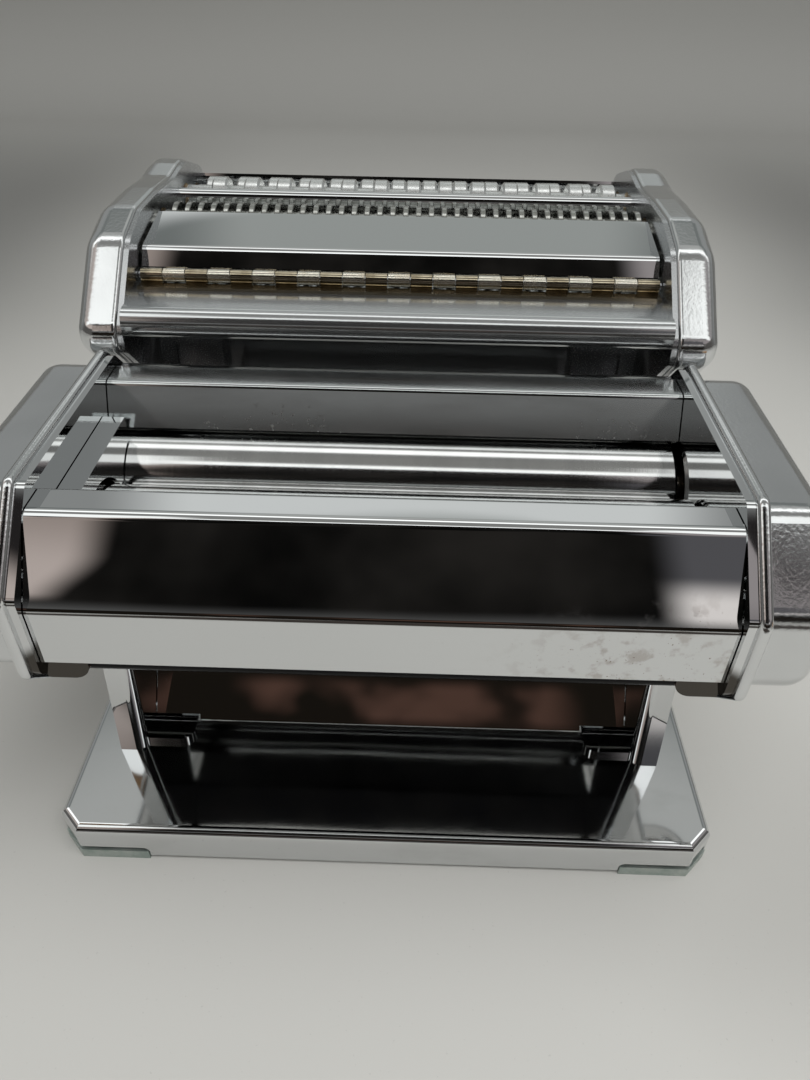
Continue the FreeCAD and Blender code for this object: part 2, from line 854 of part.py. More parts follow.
def corner_feet():
    """Cast corners under the base: a leg along each skirt and a pad that fills the notch."""
    inset = base_sheet + foot_gap
    inner = base_block(inset + foot_width, -over, base_top)
    legs = base_block(inset, 0, base_top - base_sheet).cut(facet_notches(foot_pad, base_top))
    pads = base_block(-foot_proud, 0, foot_pad)
    feet = []
    for corner in corner_boxes(-over, base_top, notch_gap):
        feet.append(legs.fuse(pads).cut(inner).common(corner).removeSplitter())
    return Part.makeCompound(feet)


# Dough rollers, gears and crank

def drive_roller():
    end = roller_length / 2
    left = -carrier_end - shaft_proud
    shaft = turned([(left, journal_radius), (-end, journal_radius), (-end, roller_radius - roller_chamfer),
                    (-end + roller_chamfer, roller_radius), (end - roller_chamfer, roller_radius),
                    (end, roller_radius - roller_chamfer), (end, journal_radius),
                    (drive_shaft_end, journal_radius)], drive_roller_y, roller_height)
    socket = rod(drive_roller_y, roller_height, crank_radius + fit_gap,
                 drive_shaft_end - crank_socket_depth, drive_shaft_end + over)
    return shaft.cut(socket)


def adjust_roller():
    end = roller_length / 2
    return turned([(-carrier_end - shaft_proud, journal_radius), (-end, journal_radius),
                   (-end, roller_radius - roller_chamfer), (-end + roller_chamfer, roller_radius),
                   (end - roller_chamfer, roller_radius), (end, roller_radius - roller_chamfer),
                   (end, journal_radius), (gear_end + shaft_proud, journal_radius)],
                  adjust_roller_y, roller_height)


def roller_gear(y, first_tooth):
    wire = gear_wire(gear_teeth, gear_pitch_radius, gear_addendum, gear_dedendum, gear_backlash, first_tooth)
    return gear(wire, y, roller_height, journal_radius + fit_gap, gear_start, gear_end)


def crank_arm():
    start = drive_shaft_end - crank_socket_depth + end_play
    arm_x = drive_shaft_end + crank_stand_off
    hand_y = drive_roller_y - crank_arm_length
    tip = arm_x + crank_bend + grip_length + 2 * grip_clearance
    z = roller_height
    turn = crank_bend * (1 - math.sqrt(0.5))
    first = Part.Arc(V(arm_x - crank_bend, drive_roller_y, z), V(arm_x - turn, drive_roller_y - turn, z),
                     V(arm_x, drive_roller_y - crank_bend, z))
    second = Part.Arc(V(arm_x, hand_y + crank_bend, z), V(arm_x + turn, hand_y + turn, z),
                      V(arm_x + crank_bend, hand_y, z))
    path = Part.Wire([Part.LineSegment(V(start, drive_roller_y, z), first.StartPoint).toShape(),
                      first.toShape(),
                      Part.LineSegment(first.EndPoint, second.StartPoint).toShape(),
                      second.toShape(),
                      Part.LineSegment(second.EndPoint, V(tip, hand_y, z)).toShape()])
    section = Part.Wire(Part.makeCircle(crank_radius, V(start, drive_roller_y, z), ALONG_X))
    bar = path.makePipeShell([section], True, False)
    washer = rod(hand_y, z, crank_radius + grip_washer_proud, tip, tip + grip_washer)
    return joined([bar, washer])


def crank_grip():
    x0 = drive_shaft_end + crank_stand_off + crank_bend + grip_clearance
    x1 = x0 + grip_length
    y = drive_roller_y - crank_arm_length
    belly = x0 + grip_length * grip_belly_place
    wall_side = V(x0, y, roller_height + grip_radius * grip_near_share)
    far_side = V(x1, y, roller_height + grip_radius * grip_far_share)
    outer = Part.Arc(wall_side, V(belly, y, roller_height + grip_radius), far_side).toShape()
    low0 = V(x0, y, roller_height + crank_radius + grip_clearance)
    low1 = V(x1, y, roller_height + crank_radius + grip_clearance)
    wire = Part.Wire([Part.LineSegment(low0, wall_side).toShape(), outer,
                      Part.LineSegment(far_side, low1).toShape(), Part.LineSegment(low1, low0).toShape()])
    grip = Part.Face(wire).revolve(V(0, y, roller_height), ALONG_X, 360)
    ends = [edge for x in (x0, x1) for edge in edges_at_x(grip, x)
            if edge.Curve.Radius > crank_radius + 2 * grip_clearance]
    return grip.makeFillet(grip_end_round, ends)


# Thickness adjuster

def carrier():
    """Bearing block of the front roller with a yoke round the eccentric."""
    half = journal_radius + carrier_wall
    yoke_half = eccentric_radius + eccentric_offset + carrier_wall / 2 + yoke_clearance
    body = slab([(adjuster_y - yoke_half, roller_height - yoke_half, yoke_corner),
                 (adjuster_y + yoke_half, roller_height - yoke_half, yoke_corner),
                 (adjust_roller_y + half, roller_height - half, carrier_corner),
                 (adjust_roller_y + half, roller_height + half, carrier_corner),
                 (adjuster_y + yoke_half, roller_height + yoke_half + eccentric_offset, yoke_corner),
                 (adjuster_y - yoke_half, roller_height + yoke_half + eccentric_offset, yoke_corner)],
                carrier_start, carrier_end)
    guide_half = half - carrier_step
    guide = box(wall + end_play, carrier_start, adjust_roller_y - guide_half, adjust_roller_y + guide_half,
                roller_height - guide_half, roller_height + guide_half)
    slot_half = eccentric_radius + yoke_clearance
    slot = box(carrier_start - over, carrier_end + over, adjuster_y - slot_half, adjuster_y + slot_half,
               roller_height - slot_half - yoke_clearance,
               roller_height + slot_half + eccentric_offset + yoke_clearance)
    bore = rod(adjust_roller_y, roller_height, journal_radius + running_clearance,
               wall - over, carrier_end + over)
    return joined([body, guide]).cut([slot, bore])


def adjuster_shaft():
    knob_end = cover_face + dial_gap() + dial_thickness + knob_length
    return rod(adjuster_y, roller_height, adjuster_radius, -knob_end + knob_neck, carrier_end + end_play)


def dial_gap():
    return hole_clearance


def eccentric():
    disc = rod(adjuster_y, roller_height + eccentric_offset, eccentric_radius,
               carrier_start + end_play, carrier_end - end_play)
    return disc.cut(rod(adjuster_y, roller_height, adjuster_radius + fit_gap, carrier_start, carrier_end))


def thickness_dial():
    x0 = -cover_face - dial_gap() - dial_thickness
    disc = rod(adjuster_y, roller_height, dial_radius, x0, x0 + dial_thickness)
    disc = disc.makeFillet(dial_thickness * 0.4, edges_at_x(disc, x0))
    return disc.cut(rod(adjuster_y, roller_height, adjuster_radius + fit_gap,
                        x0 - over, x0 + dial_thickness + over))


def thickness_knob():
    x0 = -cover_face - dial_gap() - dial_thickness
    x1 = x0 - knob_length
    waist = x0 - knob_length * knob_waist_place
    crown = x0 - knob_length * knob_crown_place
    y, z = adjuster_y, roller_height
    foot = V(x0, y, z + knob_radius * knob_foot_share)
    rim = V(x1, y, z + knob_radius * knob_end_share)
    side = Part.BSplineCurve()
    side.interpolate([foot, V(waist, y, z + knob_radius * knob_waist_share), V(crown, y, z + knob_radius),
                      V(x0 - knob_length * knob_shoulder_place, y,
                        z + knob_radius * knob_shoulder_share), rim])
    wire = Part.Wire([side.toShape(),
                      Part.LineSegment(rim, V(x1, y, z)).toShape(),
                      Part.LineSegment(V(x1, y, z), V(x0, y, z)).toShape(),
                      Part.LineSegment(V(x0, y, z), foot).toShape()])
    knob = Part.Face(wire).revolve(V(0, y, z), ALONG_X, 360)
    return knob.cut(rod(y, z, adjuster_radius + fit_gap, x1 + knob_neck - fit_gap, x0 + over))


# Double cutter

def cutter_axes():
    return [(narrow_drive_y, narrow_drive_z), (narrow_partner_y, narrow_partner_z),
            (wide_partner_y, wide_partner_z), (wide_drive_y, wide_drive_z)]


def drive_axes():
    return [(narrow_drive_y, narrow_drive_z), (wide_drive_y, wide_drive_z)]


def cheek_wire(inset):
    wire = rounded_wire([(cheek_front_y, cheek_front_bottom, cheek_nose_round),
                         (cheek_front_y, cheek_front_bottom + cheek_front_height, cheek_brow_round),
                         (cheek_shoulder_y, cheek_shoulder_z, cheek_shoulder_round),
                         (cheek_top_front_y, cheek_top, cheek_crown_round),
                         (cheek_top_rear_y, cheek_top, cheek_crown_round),
                         (cheek_dip_y, cheek_dip_z, cheek_dip_round),
                         (cheek_hump_front_y, cheek_hump_z, cheek_hump_round),
                         (cheek_hump_rear_y, cheek_hump_z, cheek_hump_round),
                         (cheek_rear_y, cheek_rear_top, cheek_rear_round),
                         (cheek_rear_y, cheek_rear_bottom, cheek_rear_round),
                         (cheek_heel_y, cheek_heel_z, cheek_heel_round)])
    if inset:
        wire = wire.makeOffset2D(-inset)
    return wire


def cutter_cheek(bored):
    shell = extruded(cheek_wire(0), cutter_plate_face, cheek_face)
    shell = shell.makeFillet(cheek_round, edges_at_x(shell, cheek_face))
    shell = shell.makeFillet(cheek_lip_round, edges_at_x(shell, cutter_plate_face))
    cavity = extruded(cheek_wire(cheek_sheet), cutter_plate_face, cheek_face - cheek_sheet)
    cavity = cavity.makeFillet(cheek_round - cheek_sheet, edges_at_x(cavity, cheek_face - cheek_sheet))
    drills = []
    if bored:
        hole = socket_radius() + socket_wall + hole_clearance
        drills = [rod(y, z, hole, cutter_plate_face, cheek_face + over) for y, z in drive_axes()]
    return shell.cut([cavity] + drills)


def socket_radius():
    return crank_radius + fit_gap


def cutter_bearing_plate():
    plate = extruded(cheek_wire(bearing_plate_inset), cutter_wall, cutter_plate_face)
    holes = []
    for y, z in cutter_axes():
        radius = cutter_shaft_radius + cutter_bush_wall + fit_gap
        holes.append(rod(y, z, radius, cutter_wall - over, cutter_plate_face + over))
    return plate.cut(holes)


def cutter_bushes():
    bushes = []
    for y, z in cutter_axes():
        end = cutter_wall + cutter_bush_length
        ring = rod(y, z, cutter_shaft_radius + cutter_bush_wall, cutter_wall, end)
        ring = ring.cut(rod(y, z, cutter_shaft_radius + running_clearance, cutter_wall - over, end + over))
        bushes += [mirrored(ring), ring]
    return Part.makeCompound(bushes)


def cutter_front_plate():
    points = [(front_plate_rear, front_plate_top), (front_plate_front, front_plate_top),
              (front_plate_front, front_plate_top - front_bead), (hook_plate_y, front_plate_top - front_bead),
              (hook_plate_y, hook_plate_bottom)]
    bead_bend = front_bead / 2 - fit_gap
    return bent_sheet(points, [bead_bend, bead_bend, hook_bend], sheet, -cutter_wall, cutter_wall)


def cutter_rear_plate():
    points = [(rear_plate_y, rear_plate_bottom), (rear_plate_y, rear_plate_top),
              (rear_plate_y - rear_plate_lean, rear_plate_top + rear_plate_rise)]
    return bent_sheet(points, [sheet_bend], sheet, -cutter_wall, cutter_wall)


def cutter_middle_guide():
    """Upright sheet between the two pairs, with a lip that leads the dough to the wide pair."""
    points = [(middle_guide_y - middle_guide_lean, middle_guide_bottom), (middle_guide_y, middle_guide_top),
              (middle_guide_y + middle_guide_lip, middle_guide_top - middle_guide_fall)]
    return bent_sheet(points, [sheet_bend], sheet, -cutter_wall, cutter_wall)


def cutter_tie_bars():
    bars = [rod(y, cutter_rod_z, cutter_rod_radius, -cutter_wall, cutter_wall)
            for y in (cutter_rod_front_y, cutter_rod_rear_y)]
    return Part.makeCompound(bars)


def disc_centres(strip, shifted):
    """Middles of one roller's discs; the partner's discs lie one strip further on."""
    count = int(cutting_width / strip + 1e-6)
    start = -count * strip / 2 + strip / 2
    return [start + strip * i for i in range(1 if shifted else 0, count, 2)]


def cutter_roller(strip, shifted, disc_radius, core_radius, y, z, driven):
    half_disc = strip / 2 - disc_side_gap
    edge = strip * disc_edge_share
    body_end = cutter_wall - roller_end_gap
    right = pinion_end + pinion_clear
    profile = [(-cutter_wall - cutter_bush_length, cutter_shaft_radius), (-body_end, cutter_shaft_radius),
               (-body_end, core_radius)]
    for x in disc_centres(strip, shifted):
        profile += [(x - half_disc, core_radius), (x - half_disc, disc_radius - edge),
                    (x - half_disc + edge, disc_radius), (x + half_disc - edge, disc_radius),
                    (x + half_disc, disc_radius - edge), (x + half_disc, core_radius)]
    profile += [(body_end, core_radius), (body_end, cutter_shaft_radius), (right, cutter_shaft_radius)]
    if driven:
        hub = socket_radius() + socket_wall
        profile += [(right, hub), (cheek_face + end_play, hub)]
    roller = turned(profile, y, z)
    if driven:
        mouth = cheek_face + end_play
        roller = roller.cut(rod(y, z, socket_radius(), mouth - socket_depth, mouth + over))
    return roller


def pinion(y, z, mate_y, mate_z, shifted):
    distance = math.hypot(mate_y - y, mate_z - z)
    towards = math.atan2(mate_z - z, mate_y - y)
    first = towards + (math.pi / pinion_teeth if shifted else 0.0)
    wire = gear_wire(pinion_teeth, distance / 2, pinion_addendum, pinion_dedendum, pinion_backlash, first)
    return gear(wire, y, z, cutter_shaft_radius + fit_gap, pinion_start, pinion_end)


def comb(strip, gaps, core_radius, y, z, side):
    """Stripper whose fingers lie in the grooves under one roller; side is -1 in front, 1 behind."""
    finger = strip / 2 + disc_side_gap - comb_side_gap
    top = z - core_radius - comb_core_gap
    far = y + side * comb_bar_far
    near = y + side * comb_bar_near
    tip = y - side * comb_tip
    outline = [V(-cutter_wall, near, 0), V(-cutter_wall, far, 0),
               V(cutter_wall, far, 0), V(cutter_wall, near, 0)]
    for x in sorted(gaps, reverse=True):
        outline += [V(x + finger, near, 0), V(x + finger, tip, 0),
                    V(x - finger, tip, 0), V(x - finger, near, 0)]
    face = Part.Face(Part.makePolygon(outline + outline[:1]))
    face.translate(V(0, 0, top - comb_sheet))
    return face.extrude(V(0, 0, comb_sheet))


def combs(strip, core_radius, front_axis, rear_axis, front_shifted):
    front = comb(strip, disc_centres(strip, not front_shifted), core_radius, *front_axis, -1)
    rear = comb(strip, disc_centres(strip, front_shifted), core_radius, *rear_axis, 1)
    return Part.makeCompound([front, rear])


def hinge_columns(first):
    """X ranges of every other knuckle, starting with the first or the second."""
    pitch = 2 * (cutter_wall - flap_end_gap) / knuckle_count
    left = -cutter_wall + flap_end_gap
    columns = []
    for i in range(first, knuckle_count, 2):
        columns.append((left + i * pitch + knuckle_gap, left + (i + 1) * pitch - knuckle_gap))
    return columns


def hinge_tubes(columns, web):
    tubes = []
    for x0, x1 in columns:
        tubes.append(rod(hinge_y, hinge_z, knuckle_radius, x0, x1))
        tubes.append(slab(web, x0, x1))
    return tubes


def hinge_bore():
    return rod(hinge_y, hinge_z, hinge_pin_radius + running_clearance, -cutter_wall, cutter_wall)


def hinge_fixed_leaf():
    """Leaf that lies on the front plate."""
    edge = hinge_y - knuckle_radius - 2 * fit_gap - hinge_lift
    low, high = front_plate_top, front_plate_top + hinge_leaf
    half = cutter_wall - flap_end_gap
    strip = box(-half, half, edge - hinge_leaf_length, edge, low, high)
    knuckle_bottom = hinge_z - knuckle_radius
    web = [(edge - hinge_web_lap, low), (hinge_y, knuckle_bottom), (hinge_y, knuckle_bottom + hinge_leaf),
           (edge - hinge_web_lap, high)]
    return joined([strip] + hinge_tubes(hinge_columns(0), web)).cut(hinge_bore())


def flap_points():
    return [(hinge_y + flap_rear_y, hinge_z + flap_rear_z), (hinge_y + flap_bend_y, hinge_z + flap_bend_z),
            (hinge_y + flap_start_y, hinge_z + flap_start_z)]


def cutter_flap():
    half = cutter_wall - flap_end_gap
    return bent_sheet(flap_points(), [flap_bend], sheet, -half, half)


def hinge_flap_leaf():
    """Leaf under the front facet of the flap."""
    bend, start = flap_points()[1:]
    along = unit(bend[0] - start[0], bend[1] - start[1])
    inward = (along[1], -along[0])

    def place(distance, depth):
        return (start[0] + along[0] * distance + inward[0] * depth,
                start[1] + along[1] * distance + inward[1] * depth)

    reach = math.hypot(bend[0] - start[0], bend[1] - start[1]) - flap_bend
    half = cutter_wall - flap_end_gap
    under = sheet + hinge_leaf
    strip = slab([place(0, sheet), place(reach, sheet), place(reach, under), place(0, under)], -half, half)
    root = -math.hypot(flap_start_y, flap_start_z) + hinge_pin_radius
    web = [place(root, sheet), place(hinge_web_lap, sheet), place(hinge_web_lap, under), place(root, under)]
    return joined([strip] + hinge_tubes(hinge_columns(1), web)).cut(hinge_bore())


def hinge_pin():
    half = cutter_wall - end_play
    return rod(hinge_y, hinge_z, hinge_pin_radius, -half, half)


def cutter_hanger():
    """Bracket on the back of the head; its tongue carries the cutter."""
    points = [(0, hanger_foot_bottom), (0, hanger_foot_top), (hanger_step, hanger_step_top),
              (hanger_step, hanger_top)]
    half = hanger_width / 2
    return bent_sheet(points, [hanger_bend] * 2, -hanger_sheet, hanger_centre - half, hanger_centre + half)


def hook_channel():
    """Channel on the cutter that drops over a hanger's tongue."""
    half = hanger_width / 2 + channel_clearance
    front = hanger_step - channel_clearance - channel_wall
    bottom = hanger_step_top + 2 * hanger_bend
    top = hanger_top + seat_gap
    block = box(hanger_centre - half - channel_wall, hanger_centre + half + channel_wall, front, hook_plate_y,
                bottom, top + channel_top)
    slot = box(hanger_centre - half, hanger_centre + half,
               hanger_step - channel_clearance, hook_plate_y + over, bottom - over, top)
    mouth = box(hanger_centre - half + channel_lip, hanger_centre + half - channel_lip, front - over,
                hanger_step, bottom - over, top)
    return block.cut([slot, mouth])


def machine():
    right_plate = side_plate()
    adjuster_hole = (adjuster_y, roller_height, adjuster_radius + hole_clearance)
    crank_hole = (drive_roller_y, roller_height, journal_radius + hole_clearance)
    return {
        "base_plate": base_plate(),
        "corner_feet": corner_feet(),
        "left_side_plate": mirrored(right_plate),
        "right_side_plate": right_plate,
        "front_cover": front_cover(),
        "rear_cover": rear_cover(),
        "dough_plate": dough_plate(),
        "dough_edge_guide": dough_edge_guide(),
        "left_end_cover": mirrored(end_cover([adjuster_hole])),
        "right_end_cover": end_cover([crank_hole]),
        "dough_chute": dough_chute(),
        "tie_rods": tie_rods(),
        "tie_rod_nuts": tie_rod_nuts(),
        "front_scraper": scraper(adjust_roller_y, scraper_reach + adjuster_travel, -1),
        "rear_scraper": scraper(drive_roller_y, scraper_reach, 1),
        "drive_roller_bushes": pair(drive_bush()),
        "end_cover_screws": end_cover_screws(),
        "leg_screws": leg_screws(),
        "drive_roller": drive_roller(),
        "drive_gear": roller_gear(drive_roller_y, 0.0),
        "crank_arm": crank_arm(),
        "crank_grip": crank_grip(),
        "adjust_roller": adjust_roller(),
        "adjust_gear": roller_gear(adjust_roller_y, math.pi / gear_teeth),
        "left_carrier": mirrored(carrier()),
        "right_carrier": carrier(),
        "adjuster_shaft": adjuster_shaft(),
        "eccentrics": pair(eccentric()),
        "thickness_dial": thickness_dial(),
        "thickness_knob": thickness_knob(),
    }


def double_cutter():
    """The cutter and its hangers, measured from the back top edge of the head."""
    narrow_drive, narrow_partner, wide_partner, wide_drive = cutter_axes()
    return {
        "cutter_hangers": pair(cutter_hanger()),
        "left_cutter_cheek": mirrored(cutter_cheek(False)),
        "right_cutter_cheek": cutter_cheek(True),
        "left_bearing_plate": mirrored(cutter_bearing_plate()),
        "right_bearing_plate": cutter_bearing_plate(),
        "cutter_bushes": cutter_bushes(),
        "cutter_front_plate": cutter_front_plate(),
        "cutter_rear_plate": cutter_rear_plate(),
        "cutter_middle_guide": cutter_middle_guide(),
        "cutter_tie_bars": cutter_tie_bars(),
        "narrow_combs": combs(narrow_strip, narrow_core_radius, narrow_drive, narrow_partner, False),
        "wide_combs": combs(wide_strip, wide_core_radius, wide_partner, wide_drive, True),
        "hinge_fixed_leaf": hinge_fixed_leaf(),
        "hinge_pin": hinge_pin(),
        "hook_channels": pair(hook_channel()),
        "cutter_flap": cutter_flap(),
        "hinge_flap_leaf": hinge_flap_leaf(),
        "narrow_drive_cutter": cutter_roller(narrow_strip, False, narrow_disc_radius, narrow_core_radius,
                                             *narrow_drive, True),
        "narrow_partner_cutter": cutter_roller(narrow_strip, True, narrow_disc_radius, narrow_core_radius,
                                               *narrow_partner, False),
        "wide_drive_cutter": cutter_roller(wide_strip, False, wide_disc_radius, wide_core_radius,
                                           *wide_drive, True),
        "wide_partner_cutter": cutter_roller(wide_strip, True, wide_disc_radius, wide_core_radius,
                                             *wide_partner, False),
        "narrow_drive_pinion": pinion(*narrow_drive, *narrow_partner, False),
        "narrow_partner_pinion": pinion(*narrow_partner, *narrow_drive, True),
        "wide_drive_pinion": pinion(*wide_drive, *wide_partner, False),
        "wide_partner_pinion": pinion(*wide_partner, *wide_drive, True),
    }


os.makedirs("parts", exist_ok=True)
parts = machine()
for name, shape in double_cutter().items():
    parts[name] = shape.translated(cutter_place)
for name, shape in parts.items():
    shape.exportStep("parts/" + name + ".step")
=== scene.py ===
import json
import math
import bmesh
import bpy
from mathutils import Matrix, Vector


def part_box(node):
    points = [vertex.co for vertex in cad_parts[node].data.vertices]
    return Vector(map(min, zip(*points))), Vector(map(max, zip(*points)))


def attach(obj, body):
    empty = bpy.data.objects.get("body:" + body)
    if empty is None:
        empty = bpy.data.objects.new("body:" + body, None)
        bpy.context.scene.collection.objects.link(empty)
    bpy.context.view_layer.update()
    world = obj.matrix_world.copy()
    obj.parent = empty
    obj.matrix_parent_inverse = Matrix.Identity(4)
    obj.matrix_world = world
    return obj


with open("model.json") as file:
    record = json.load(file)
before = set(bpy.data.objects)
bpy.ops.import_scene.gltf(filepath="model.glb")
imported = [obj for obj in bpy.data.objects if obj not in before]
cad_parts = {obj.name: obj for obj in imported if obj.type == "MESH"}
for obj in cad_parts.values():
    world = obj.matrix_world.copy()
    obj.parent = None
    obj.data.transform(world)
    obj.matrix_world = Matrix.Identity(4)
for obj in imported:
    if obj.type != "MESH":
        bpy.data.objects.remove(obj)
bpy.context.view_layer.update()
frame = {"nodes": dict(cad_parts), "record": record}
nodes = frame["nodes"]
MM = 0.001


# Small helpers for shader trees

UNSTRETCHED = (1, 1, 1)
CORE_SHARE = 0.25


class Tree:
    """Adds shader nodes by type; a value that is a socket is linked, any other is set."""

    def __init__(self, tree):
        self.tree = tree
        tree.nodes.clear()

    def put(self, socket, value):
        if isinstance(value, bpy.types.NodeSocket):
            self.tree.links.new(value, socket)
        else:
            socket.default_value = value

    def add(self, kind, inputs=None, **settings):
        node = self.tree.nodes.new(kind)
        for name, value in settings.items():
            setattr(node, name, value)
        for name, value in (inputs or {}).items():
            self.put(node.inputs[name], value)
        return node

    def math(self, operation, first, second=0.0):
        node = self.add("ShaderNodeMath", operation=operation)
        self.put(node.inputs[0], first)
        self.put(node.inputs[1], second)
        return node.outputs[0]

    def both(self, first, second):
        return self.math("MULTIPLY", first, second)

    def ramp(self, value, low, high, to_low=0.0, to_high=1.0):
        """Smooth step between two values; low may be the larger one."""
        node = self.add("ShaderNodeMapRange", {"Value": value, "From Min": low, "From Max": high,
                                               "To Min": to_low, "To Max": to_high})
        node.interpolation_type = "SMOOTHSTEP"
        return node.outputs[0]

    def mix(self, share, first, second):
        node = self.add("ShaderNodeMix", data_type="RGBA")
        self.put(node.inputs[0], share)
        self.put(node.inputs[6], first)
        self.put(node.inputs[7], second)
        return node.outputs[2]

    def place(self, stretch=UNSTRETCHED):
        """Object coordinates in metres, stretched for one pattern."""
        coordinates = self.add("ShaderNodeTexCoord").outputs["Object"]
        return self.add("ShaderNodeMapping", {"Vector": coordinates, "Scale": stretch}).outputs[0]

    def axes(self):
        """X, Y and Z of a place on the machine."""
        return self.add("ShaderNodeSeparateXYZ", {"Vector": self.place()}).outputs

    def noise(self, scale, detail=3.0, stretch=UNSTRETCHED, rough=0.5):
        node = self.add("ShaderNodeTexNoise", {"Vector": self.place(stretch), "Scale": scale,
                                               "Detail": detail, "Roughness": rough})
        return node.outputs["Fac"]

    def near(self, centre, reach, stretch=UNSTRETCHED):
        """1 at a place on the machine, falling to 0 at reach metres from it."""
        apart = self.add("ShaderNodeVectorMath", operation="DISTANCE")
        self.put(apart.inputs[0], self.place(stretch))
        self.put(apart.inputs[1], [c * s for c, s in zip(centre, stretch)])
        return self.ramp(apart.outputs["Value"], reach, reach * CORE_SHARE)

    def bump(self, height, distance, strength, under=None):
        node = self.add("ShaderNodeBump", {"Height": height, "Distance": distance, "Strength": strength})
        if under is not None:
            self.put(node.inputs["Normal"], under)
        return node.outputs["Normal"]


# Camera at the photograph's place

CAMERA_PLACE = Vector((7.3, -172.3, 226.7)) * MM
CAMERA_YAW = math.radians(-1.06)
CAMERA_PITCH = math.radians(38.25)
CAMERA_ROLL = math.radians(0.94)
CAMERA_LENS = 27.34
SENSOR_LONG_SIDE = 36.0
NEAREST_SEEN = 0.01
FARTHEST_SEEN = 50.0


def set_camera():
    forward = Vector((math.sin(CAMERA_YAW) * math.cos(CAMERA_PITCH),
                      math.cos(CAMERA_YAW) * math.cos(CAMERA_PITCH), -math.sin(CAMERA_PITCH)))
    level = Vector((math.cos(CAMERA_YAW), -math.sin(CAMERA_YAW), 0.0))
    upright = level.cross(forward)
    right = level * math.cos(CAMERA_ROLL) + upright * math.sin(CAMERA_ROLL)
    up = upright * math.cos(CAMERA_ROLL) - level * math.sin(CAMERA_ROLL)
    data = bpy.data.cameras.new("photo_camera")
    data.lens = CAMERA_LENS
    data.sensor_width = SENSOR_LONG_SIDE
    data.clip_start = NEAREST_SEEN
    data.clip_end = FARTHEST_SEEN
    camera = bpy.data.objects.new("photo_camera", data)
    turn = Matrix((right, up, -forward)).transposed().to_4x4()
    camera.matrix_world = Matrix.Translation(CAMERA_PLACE) @ turn
    bpy.context.scene.collection.objects.link(camera)
    bpy.context.scene.camera = camera


# Mesh objects and materials

def new_object(name, mesh_maker, material, smooth_angle=None):
    """Mesh object at the origin, filled by mesh_maker(bm)."""
    mesh = bpy.data.meshes.new(name)
    bm = bmesh.new()
    mesh_maker(bm)
    bm.to_mesh(mesh)
    bm.free()
    if smooth_angle is not None:
        mesh.shade_smooth()
        mesh.set_sharp_from_angle(angle=smooth_angle)
    obj = bpy.data.objects.new(name, mesh)
    obj.data.materials.append(material)
    bpy.context.scene.collection.objects.link(obj)
    return obj


def new_material(name, maker):
    """Material whose surface is the shader that maker(tree) returns."""
    material = bpy.data.materials.new(name)
    material.use_nodes = True
    tree = Tree(material.node_tree)
    shader = maker(tree)
    tree.add("ShaderNodeOutputMaterial", {"Surface": shader.outputs[0]})
    return material


# Sweep: a pale floor that curves up into a wall; sizes in metres, pairs say where a shade starts and ends

SWEEP_HALF_WIDTH = 4.0
SWEEP_FRONT = -4.0
SWEEP_REAR = 1.05
SWEEP_CURVE = 0.12
SWEEP_CURVE_STEPS = 12
SWEEP_TOP = 0.45
SWEEP_SMOOTH_ANGLE = math.radians(60.0)
SWEEP_ROUGH = 0.55
SWEEP_SHINE = 0.25
FLOOR_TONES = ((0.50, 0.497, 0.47, 1), (0.55, 0.547, 0.52, 1))
FLOOR_SPECK = (0.36, 0.36, 0.34, 1)
FLOOR_SPECK_SHARE = 0.35
# Painted shade: the floor's colour grows darker far behind the machine
FAR_FLOOR_SHADE = (0.425, 0.424, 0.405, 1)
FAR_FLOOR_SHADE_DEPTH = (0.45, 0.85)
SIDE_SHADE = (0.225, 0.225, 0.215, 1)
SIDE_SHADE_WIDTH = (0.14, 0.38)
SIDE_SHADE_START = (0.10, 0.42)
SIDE_SHADE_END = (0.60, 1.04)
FRONT_SHADE = (0.03, 0.024, 0.02, 1)
FRONT_SHADE_DEPTH = (-0.20, -0.27)
FRONT_SHADE_WIDTH = (0.34, 0.24)


def pale_sweep(t):
    """Speckled grey, with painted shade that dims it far behind and beside the machine; the metal alone sees the
    shade in front.
    """
    clouds = t.noise(scale=2.2, detail=2.0)
    speckle = t.noise(scale=900.0, detail=2.0)
    colour = t.mix(t.ramp(clouds, 0.3, 0.7), *FLOOR_TONES)
    colour = t.mix(t.ramp(speckle, 0.68, 0.78, 0.0, FLOOR_SPECK_SHARE), colour, FLOOR_SPECK)
    across, depth = t.axes()[:2]
    aside = t.math("ABSOLUTE", across)
    # painted shade far behind the machine
    colour = t.mix(t.ramp(depth, *FAR_FLOOR_SHADE_DEPTH), colour, FAR_FLOOR_SHADE)
    edge = t.both(t.ramp(aside, *SIDE_SHADE_WIDTH), t.ramp(depth, *SIDE_SHADE_START))
    edge = t.both(edge, t.ramp(depth, *SIDE_SHADE_END, 1.0, 0.0))
    colour = t.mix(edge, colour, SIDE_SHADE)
    mirrored = t.add("ShaderNodeLightPath").outputs["Is Glossy Ray"]
    shade = t.both(mirrored, t.ramp(depth, *FRONT_SHADE_DEPTH))
    shade = t.both(shade, t.ramp(aside, *FRONT_SHADE_WIDTH))
    colour = t.mix(shade, colour, FRONT_SHADE)
    return t.add("ShaderNodeBsdfPrincipled", {"Base Color": colour, "Roughness": SWEEP_ROUGH,
                                              "Specular IOR Level": SWEEP_SHINE})


